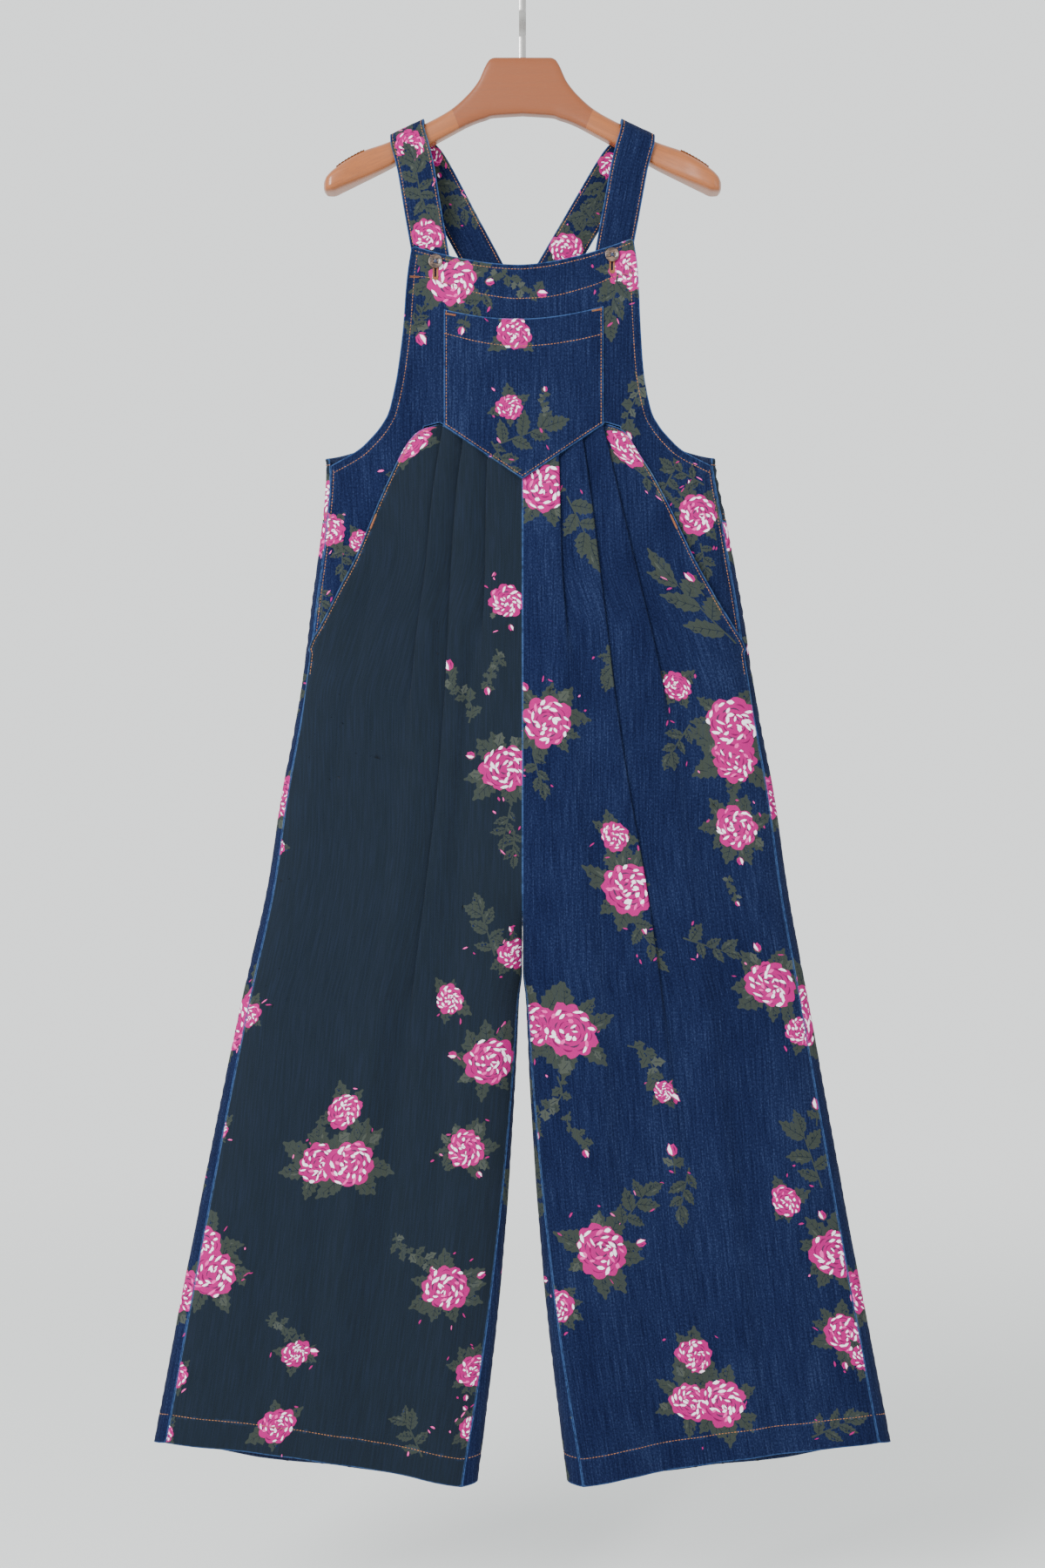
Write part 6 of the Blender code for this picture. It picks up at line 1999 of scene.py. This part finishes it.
@dataclass(frozen=True)
class Thread:
    """Spun polyester topstitching thread."""

    name: str
    colour: str
    pale: str
    twist: float = 0.6 * MM

    def make(self) -> bpy.types.Material:
        """Make the material: it gives the eye a matt tan line with lighter and darker stitches."""
        shader = Shader(self.name)
        place = shader.node("TexCoord").outputs["Object"]
        shade = shader.grain(place, (7 * MM, 7 * MM, 7 * MM), 2.0)
        ply = shader.grain(place, (self.twist, self.twist, self.twist), 1.0)
        colour = shader.mix(shader.span(shade, 0.35, 0.65), linear(self.colour), linear(self.pale))
        return shader.finish(Base_Color=colour, Roughness=0.7, Sheen_Weight=0.2,
                             Normal=shader.bump(ply, 0.08 * MM))


@dataclass(frozen=True)
class Rubber:
    """Moulded synthetic rubber with a fine grit."""

    name: str = "moulded brown rubber"
    colour: str = "#6b3f22"
    grit: float = 0.7 * MM

    def make(self) -> bpy.types.Material:
        """Make the material: it gives the eye a dull brown strip."""
        shader = Shader(self.name)
        place = shader.node("TexCoord").outputs["Object"]
        grit = shader.grain(place, (self.grit, self.grit, self.grit), 2.0)
        colour = shader.mix(shader.span(grit, 0.3, 0.7, 0.0, 0.35), linear(self.colour),
                            linear("#3c2414"))
        return shader.finish(Base_Color=colour, Roughness=0.72, Normal=shader.bump(grit, 0.1 * MM))


# ================================================================ sewing
@dataclass
class Needle:
    """Sews runs of topstitching and dense bars of overcasting along lines in space."""

    pitch: float = 3.3 * MM
    gap: float = 0.62 * MM          # of cloth between two stitches
    thick: float = 0.42 * MM        # half the thread's width
    seed: int = 5

    def __post_init__(self) -> None:
        """Build the tree that lays stitches on a line."""
        tree = bpy.data.node_groups.new("topstitching", "GeometryNodeTree")
        face = tree.interface
        face.new_socket("Geometry", in_out="INPUT", socket_type="NodeSocketGeometry")
        names = (("Pitch", "NodeSocketFloat"), ("Length", "NodeSocketFloat"),
                 ("Thickness", "NodeSocketFloat"), ("Seed", "NodeSocketInt"),
                 ("Thread", "NodeSocketMaterial"))
        self.sockets = {name: face.new_socket(name, in_out="INPUT", socket_type=kind).identifier
                        for name, kind in names}
        face.new_socket("Geometry", in_out="OUTPUT", socket_type="NodeSocketGeometry")
        add, link = tree.nodes.new, tree.links.new
        given, out = add("NodeGroupInput"), add("NodeGroupOutput")
        curve = add("GeometryNodeMeshToCurve")
        link(given.outputs["Geometry"], curve.inputs["Mesh"])
        even = add("GeometryNodeResampleCurve")
        even.mode = "LENGTH"
        link(curve.outputs["Curve"], even.inputs["Curve"])
        link(given.outputs["Pitch"], even.inputs["Length"])
        bead = add("GeometryNodeMeshUVSphere")
        bead.inputs["Segments"].default_value = 5
        bead.inputs["Rings"].default_value = 4
        bead.inputs["Radius"].default_value = 1.0
        size = add("ShaderNodeCombineXYZ")
        link(given.outputs["Thickness"], size.inputs["X"])
        link(given.outputs["Thickness"], size.inputs["Y"])
        link(given.outputs["Length"], size.inputs["Z"])
        stitch = add("GeometryNodeTransform")
        link(bead.outputs["Mesh"], stitch.inputs["Geometry"])
        link(size.outputs["Vector"], stitch.inputs["Scale"])
        tangent = add("GeometryNodeInputTangent")
        turn = add("FunctionNodeAlignRotationToVector")
        turn.axis = "Z"
        link(tangent.outputs["Tangent"], turn.inputs["Vector"])
        uneven = add("FunctionNodeRandomValue")
        uneven.data_type = "FLOAT_VECTOR"
        uneven.inputs["Min"].default_value = (0.9, 0.9, 0.86)
        uneven.inputs["Max"].default_value = (1.1, 1.1, 1.04)
        link(given.outputs["Seed"], uneven.inputs["Seed"])
        lay = add("GeometryNodeInstanceOnPoints")
        link(even.outputs["Curve"], lay.inputs["Points"])
        link(stitch.outputs["Geometry"], lay.inputs["Instance"])
        link(turn.outputs["Rotation"], lay.inputs["Rotation"])
        link(uneven.outputs["Value"], lay.inputs["Scale"])
        real = add("GeometryNodeRealizeInstances")
        link(lay.outputs["Instances"], real.inputs["Geometry"])
        dye = add("GeometryNodeSetMaterial")
        link(real.outputs["Geometry"], dye.inputs["Geometry"])
        link(given.outputs["Thread"], dye.inputs["Material"])
        link(dye.outputs["Geometry"], out.inputs["Geometry"])
        self.tree = tree

    def run(self, name: str, lines: Sequence[np.ndarray],
            thread: bpy.types.Material) -> bpy.types.Object:
        """Sew rows of stitches along lines in space.

        Args:
            name: the piece's name.
            lines: the lines, in metres.
            thread: the thread's material.

        Returns:
            The stitches as one plain mesh.
        """
        points = np.vstack(lines)
        edges, first = [], 0
        for line in lines:
            edges += [(first + i, first + i + 1) for i in range(len(line) - 1)]
            first += len(line)
        mesh = bpy.data.meshes.new(name)
        mesh.from_pydata(points.tolist(), edges, [])
        piece = bpy.data.objects.new(name, mesh)
        bpy.context.scene.collection.objects.link(piece)
        sew = piece.modifiers.new("sew", "NODES")
        sew.node_group = self.tree
        values = {"Pitch": self.pitch, "Length": (self.pitch - self.gap) / 2,
                  "Thickness": self.thick, "Seed": self.seed, "Thread": thread}
        for label, value in values.items():
            sew[self.sockets[label]] = value
        settle(piece)
        piece.data.shade_smooth()
        return piece

    def satin(self, name: str, spines: Sequence[tuple[np.ndarray, np.ndarray]],
              thread: bpy.types.Material) -> bpy.types.Object:
        """Make bars of close stitches, each thread running from one line to the other."""
        parts = []
        for one, other in spines:
            for start, end in zip(one, other):
                lift = np.array([0, -0.25 * MM, 0])
                path = np.array([start - 0.4 * lift, start * 0.8 + end * 0.2 + lift,
                                 start * 0.2 + end * 0.8 + lift, end - 0.4 * lift])
                parts.append(tube(path, 0.26 * MM, 5))
        return outward(collect(name, *joined(parts), [thread]), 60)


# ================================================================ the studio
@dataclass
class Studio:
    """A plain pale floor and soft light from the front, upper left."""

    paper: str = "#e9ecec"
    floor_z: float = -1.75
    floor_half: float = 60.0
    surround: float = 1.75          # brightness of the pale surroundings
    fade_from: float = 0.8          # the floor's light fades into them over these distances
    fade_to: float = 3.2

    def build(self) -> None:
        """Make the floor, the lights and the surrounding light."""
        self.floor()
        world = bpy.data.worlds.new("studio")
        world.use_nodes = True
        background = world.node_tree.nodes["Background"]
        background.inputs[0].default_value = linear(self.paper)
        background.inputs[1].default_value = self.surround
        bpy.context.scene.world = world
        self.light("key", (-1.9, -2.7, 0.5), (0, 0, -0.85), 1.5, 170.0)
        self.light("fill", (2.4, -2.4, -0.4), (0, 0, -0.9), 2.2, 20.0)

    def floor(self) -> bpy.types.Object:
        """Make a floor of matt paper that fades into the surroundings, without a horizon."""
        shader = Shader("matt studio paper")
        place = shader.node("TexCoord").outputs["Object"]
        flat = shader.node("VectorMath", {"operation": "MULTIPLY"}, i0=place, i1=(1, 1, 0)).outputs[0]
        away = shader.node("VectorMath", {"operation": "LENGTH"}, i0=flat).outputs["Value"]
        glow = shader.node("Emission", i0=linear(self.paper), i1=self.surround).outputs[0]
        blend = shader.node("MixShader", i0=shader.span(away, self.fade_from, self.fade_to),
                            i1=shader.base.outputs[0], i2=glow).outputs[0]
        shader.tree.links.new(blend, shader.tree.nodes["Material Output"].inputs[0])
        paper = shader.finish(Base_Color=linear("#dfe1e0"), Roughness=0.95)
        half, z = self.floor_half, self.floor_z
        corners = np.array([(-half, -half, z), (half, -half, z), (half, half, z), (-half, half, z)])
        return collect("floor", corners, [(0, 1, 2, 3)], [paper])

    def light(self, name: str, place: Sequence[float], target: Sequence[float], size: float,
              power: float) -> None:
        """Add a square soft light that faces a target."""
        data = bpy.data.lights.new(name, "AREA")
        data.size = size
        data.energy = power
        lamp = bpy.data.objects.new(name, data)
        lamp.location = place
        lamp.rotation_euler = (Vector(target) - Vector(place)).to_track_quat("-Z", "Y").to_euler()
        bpy.context.scene.collection.objects.link(lamp)


# ================================================================ the garment on its hanger
class Dungarees:
    """The whole object: panels, straps, buttons and hanger, each dressed and tied to the root body."""

    buttons = {-1: (-91.4 * MM, -302.3 * MM), 1: (94.1 * MM, -295.4 * MM)}
    names = {-1: "left", 1: "right"}
    proud = 0.15 * MM           # how far the stitches' middle stands over the drawn-in cloth
    hem_depth = 30 * MM
    tack_width = 1.7 * MM
    tack_pitch = 0.5 * MM
    # how far in from its edge each line of stitches runs
    top_stitch = 4.6 * MM
    armhole_stitch = 8 * MM
    side_stitch = 3.2 * MM
    pocket_stitch = 2.6 * MM
    pocket_v_stitch = 2.4 * MM
    hip_stitch = 2.9 * MM
    strap_stitch = 3.1 * MM
    # lines of stitches and bar tacks, as pixels of the photograph
    facing_pixels = ((474, 316), (496, 318), (541, 333), (578, 340), (601, 341), (637, 338),
                     (681, 326), (706, 316), (731, 311))
    pocket_hem_pixels = ((511, 382), (550, 391.5), (587, 396), (624, 395), (660, 390), (691, 383))
    armhole_tack_pixels = ((470.5, 316), (481, 316.5))
    pocket_tack_pixels = (((511.5, 359), (523, 361)), ((680, 356), (691, 354)))

    def __init__(self) -> None:
        """Settle the form, the finishes and the needle."""
        self.drape = Drape()
        self.bib = Bib(self.drape)
        self.right_side = Denim("rose-printed indigo denim").make()
        self.wrong_side = Denim("wrong side of indigo denim", "#090f26", "#181f38", "#2a334b",
                                wear=0.4).make()
        self.tan = Thread("tan topstitching thread", "#784d27", "#a8692e").make()
        self.orange = Thread("orange bar-tack thread", "#884313", "#784d27").make()
        self.needle = Needle()
        self.tacks: list[tuple[np.ndarray, np.ndarray]] = []

    def cloth(self, panel: Panel, node: str, both_right: bool = False) -> None:
        """Build a panel and its stitches, and hide the CAD node that it stands for."""
        inner = self.right_side if both_right else self.wrong_side
        piece = panel.build([self.right_side, inner])
        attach(piece, ROOT)
        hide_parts(node)
        out = panel.thickness / 2 - panel.groove_depth + self.proud
        if panel.stitches:
            lines = [panel.on_surface(spaced(line, 2 * MM), out) for line in panel.stitches]
            sewn = self.needle.run(f"{node}_topstitching", lines, self.tan)
            self.tie(sewn)
        panel.area

    def tack(self, panel: Panel, line: np.ndarray, width: float = tack_width) -> None:
        """Add a bar tack on a panel along a flat line."""
        line = spaced(line, self.tack_pitch)
        out = panel.thickness / 2 + 0.1 * MM
        sides = [panel.on_surface(beside(line, step), out) for step in (-width / 2, width / 2)]
        self.tacks.append((sides[0], sides[1]))

    def build(self) -> None:
        """Build every piece in order."""
        self.build_bib()
        for side in (-1, 1):
            self.build_front_leg(side)
        self.build_back()
        for side in (-1, 1):
            self.build_strap(side)
        self.hard_parts()
        bars = self.needle.satin("bar_tacks", self.tacks, self.orange)
        self.tie(bars)

    def build_bib(self) -> None:
        """Build the bib and its patch pocket."""
        bib = self.bib
        x = np.linspace(-112, 112, 80) * MM
        top = np.stack([x, bib.top_edge(x) - self.top_stitch], axis=1)
        facing = through(VIEW.line(self.facing_pixels), 90)
        sides = []
        for side in (-1, 1):
            armhole = through(np.array(bib.armhole) * MM, 90)[4:]
            line = beside(armhole, -self.armhole_stitch)
            sides.append(line * (side, 1))
            down = np.linspace(-522 * MM, bib.facing_end + 8 * MM, 60)
            sides.append(np.stack([side * (self.drape.side_seam(down) - self.side_stitch), down], axis=1))
        holes = [bib.buttonhole(self.buttons[side]) for side in (-1, 1)]
        panel = Panel("bib_denim", bib.outline(), bib.surface(0.0), holes=holes,
                      stitches=[top, facing, *sides], shapes=flat_print(BIB_PRINT))
        self.cloth(panel, "bib_front")
        for side in (-1, 1):
            rings = [panel.on_surface(spaced(np.vstack([ring, ring[:1]]), 0.62 * MM), out)
                     for ring, out in ((bib.buttonhole(self.buttons[side], 0.1 * MM), 0.5 * MM),
                                       (bib.buttonhole(self.buttons[side], 1.9 * MM), 0.62 * MM))]
            count = max(len(ring) for ring in rings)
            self.tacks.append(tuple(resample(ring, count) for ring in rings))
            x, z = self.buttons[side]
            foot = z - bib.slot_drop - 1.2 * MM
            self.tack(panel, np.array([(x - 1.6 * MM, foot), (x + 1.6 * MM, foot)]), 3.2 * MM)
        self.tack(panel, VIEW.line(self.armhole_tack_pixels))
        self.build_pocket()

    def build_pocket(self) -> None:
        """Build the patch pocket."""
        bib = self.bib
        left, right = bib.pocket_left + self.pocket_stitch, bib.pocket_right - self.pocket_stitch
        bottom_x = np.concatenate([np.linspace(left, 0, 40), np.linspace(0, right, 40)[1:]])
        bottom = np.stack([bottom_x, bib.v_seam(bottom_x) + self.pocket_v_stitch], axis=1)
        hem = through(VIEW.line(self.pocket_hem_pixels), 80)
        stitches = [hem, bottom]
        for x, top in ((left, bib.pocket_left_z), (right, bib.pocket_right_z)):
            z = np.linspace(top - 2 * MM, bib.v_seam(x) + self.pocket_v_stitch, 50)
            stitches.append(np.stack([np.full(50, x), z], axis=1))
        raised = DENIM + LAYER + 0.1 * MM
        panel = Panel("bib_pocket_denim", bib.pocket_outline(), bib.surface(raised),
                      stitches=stitches, shapes=flat_print(POCKET_PRINT))
        self.cloth(panel, "bib_pocket")
        for pixels in self.pocket_tack_pixels:
            self.tack(panel, VIEW.line(pixels))

    def build_front_leg(self, side: int) -> None:
        """Build one pleated front leg."""
        name = self.names[side]
        leg = FrontLeg(side, self.drape, self.bib)
        outline = leg.outline()
        edge = leg.outer_line
        hip = edge[(edge[:, 0] > 92 * MM) & (edge[:, 1] > -738 * MM)]
        hip = beside(through(hip, 160), -self.hip_stitch)
        hip = leg.unfold(hip[:, 0], hip[:, 1])
        hem_u = np.arange(2 * MM, leg.knots(np.array([-1500 * MM]))[0][0, -1] - 1 * MM, 3 * MM)
        hem = leg.follow(hem_u, lambda x: leg.hem_height(x) + self.hem_depth, leg.hem_inner_z)
        table = LEFT_LEG_PRINT if side < 0 else RIGHT_LEG_PRINT
        panel = Panel(f"front_leg_{name}_denim", outline, leg.surface, rails=leg.rails(),
                      stitches=[hip, hem], shapes=leg.lay_print(table), mirrored=side < 0)
        self.cloth(panel, f"front_leg_{name}")
        tack = hip[(hip[:, 1] < -568 * MM) & (hip[:, 1] > -584 * MM)]
        self.tack(panel, tack)

    def build_back(self) -> None:
        """Build the bodice and the two legs of the back."""
        back = Back(self.drape)
        surface, outline = back.bodice()
        top = outline[(outline[:, 1] > back.underarm - 0.1 * MM)]
        rows = [beside(top[::-1], -7 * MM)]
        width = float(surface.length(np.array([back.waist]))[0])
        for lift in (2.5 * MM, 8.5 * MM):
            rows.append(np.array([(4 * MM, back.waist + lift), (width - 4 * MM, back.waist + lift)]))
        panel = Panel("back_bodice_denim", outline, surface.surface,
                      stitches=[spaced(row, 3 * MM) for row in rows],
                      shapes=surface.lay_print(BACK_REPEAT))
        self.cloth(panel, "back_bodice")
        for side in (-1, 1):
            surface, outline = back.leg(side)
            share = np.linspace(0.01, 0.99, 120)
            bow = back.hem_drop * ease(share, 0.05, 0.35) * ease(share, 0.95, 0.65)
            z = back.hem_outer + (back.hem_inner - back.hem_outer) * share - bow + self.hem_depth
            hem = np.stack([share * surface.length(z), z], axis=1)
            seat_z = np.linspace(back.waist - 6 * MM, -1030 * MM, 150)
            seat = np.stack([surface.length(seat_z) - 3 * MM, seat_z], axis=1)
            panel = Panel(f"back_leg_{self.names[side]}_denim", outline, surface.surface,
                          stitches=[hem, seat], shapes=surface.lay_print(BACK_REPEAT),
                          mirrored=side < 0)
            self.cloth(panel, f"back_leg_{self.names[side]}")

    def build_strap(self, side: int) -> None:
        """Build one strap."""
        name = self.names[side]
        strap = Strap(side)
        up = np.linspace(2 * MM, strap.length - 2 * MM, 260)
        rows = [np.stack([np.full(260, edge * (strap.width / 2 - self.strap_stitch)), up], axis=1)
                for edge in (-1, 1)]
        table = LEFT_STRAP_PRINT if side < 0 else RIGHT_STRAP_PRINT
        front, inside_shapes = [], []
        for across, along, hidden, *motif in table:
            placed = [(outline + (across * MM, along * MM), ink) for outline, ink in drawn(*motif)]
            (inside_shapes if hidden else front).extend(placed)
        panel = Panel(f"strap_{name}_denim", strap.outline(), strap.surface, thickness=STRAP,
                      stitches=rows, shapes=front, inner_shapes=inside_shapes, pucker=0.1 * MM,
                      inner_cell=8 * MM)
        self.cloth(panel, f"strap_{name}", both_right=True)
        lines = [panel.on_surface(spaced(row, 2 * MM), -(STRAP / 2 - 0.05 * MM)) for row in rows]
        self.tie(self.needle.run(f"strap_{name}_back_stitching", lines, self.tan))

    def hard_parts(self) -> None:
        """Build the buttons and the hanger."""
        horn = Horn().make()
        dark_thread = Thread("navy button thread", "#1d2b4d", "#33466f").make()
        for side in (-1, 1):
            button = Button(side, self.drape, *self.buttons[side])
            self.tie(button.build(horn), f"button_{self.names[side]}")
            self.tie(button.thread(dark_thread))
        hanger = Hanger()
        self.tie(hanger.body(Beech().make()), "hanger_body")
        self.tie(hanger.hook(Nickel().make()), "hanger_hook")
        strip = Rubber().make()
        for side in (-1, 1):
            self.tie(hanger.grip(side, strip), f"hanger_grip_{self.names[side]}")

    def tie(self, piece: bpy.types.Object, node: str | None = None) -> None:
        """Tie a piece to the body, and hide the CAD node that it stands for, if one is given."""
        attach(piece, ROOT)
        if node:
            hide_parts(node)
        log.info("%s: %d faces", piece.name, len(piece.data.polygons))


def main() -> None:
    """Build the studio and the garment, and note the sizes."""
    logging.basicConfig(level=logging.INFO, format="%(name)s: %(message)s")
    VIEW.make_camera()
    Studio().build()
    Dungarees().build()


if __name__ == "__main__":
    main()
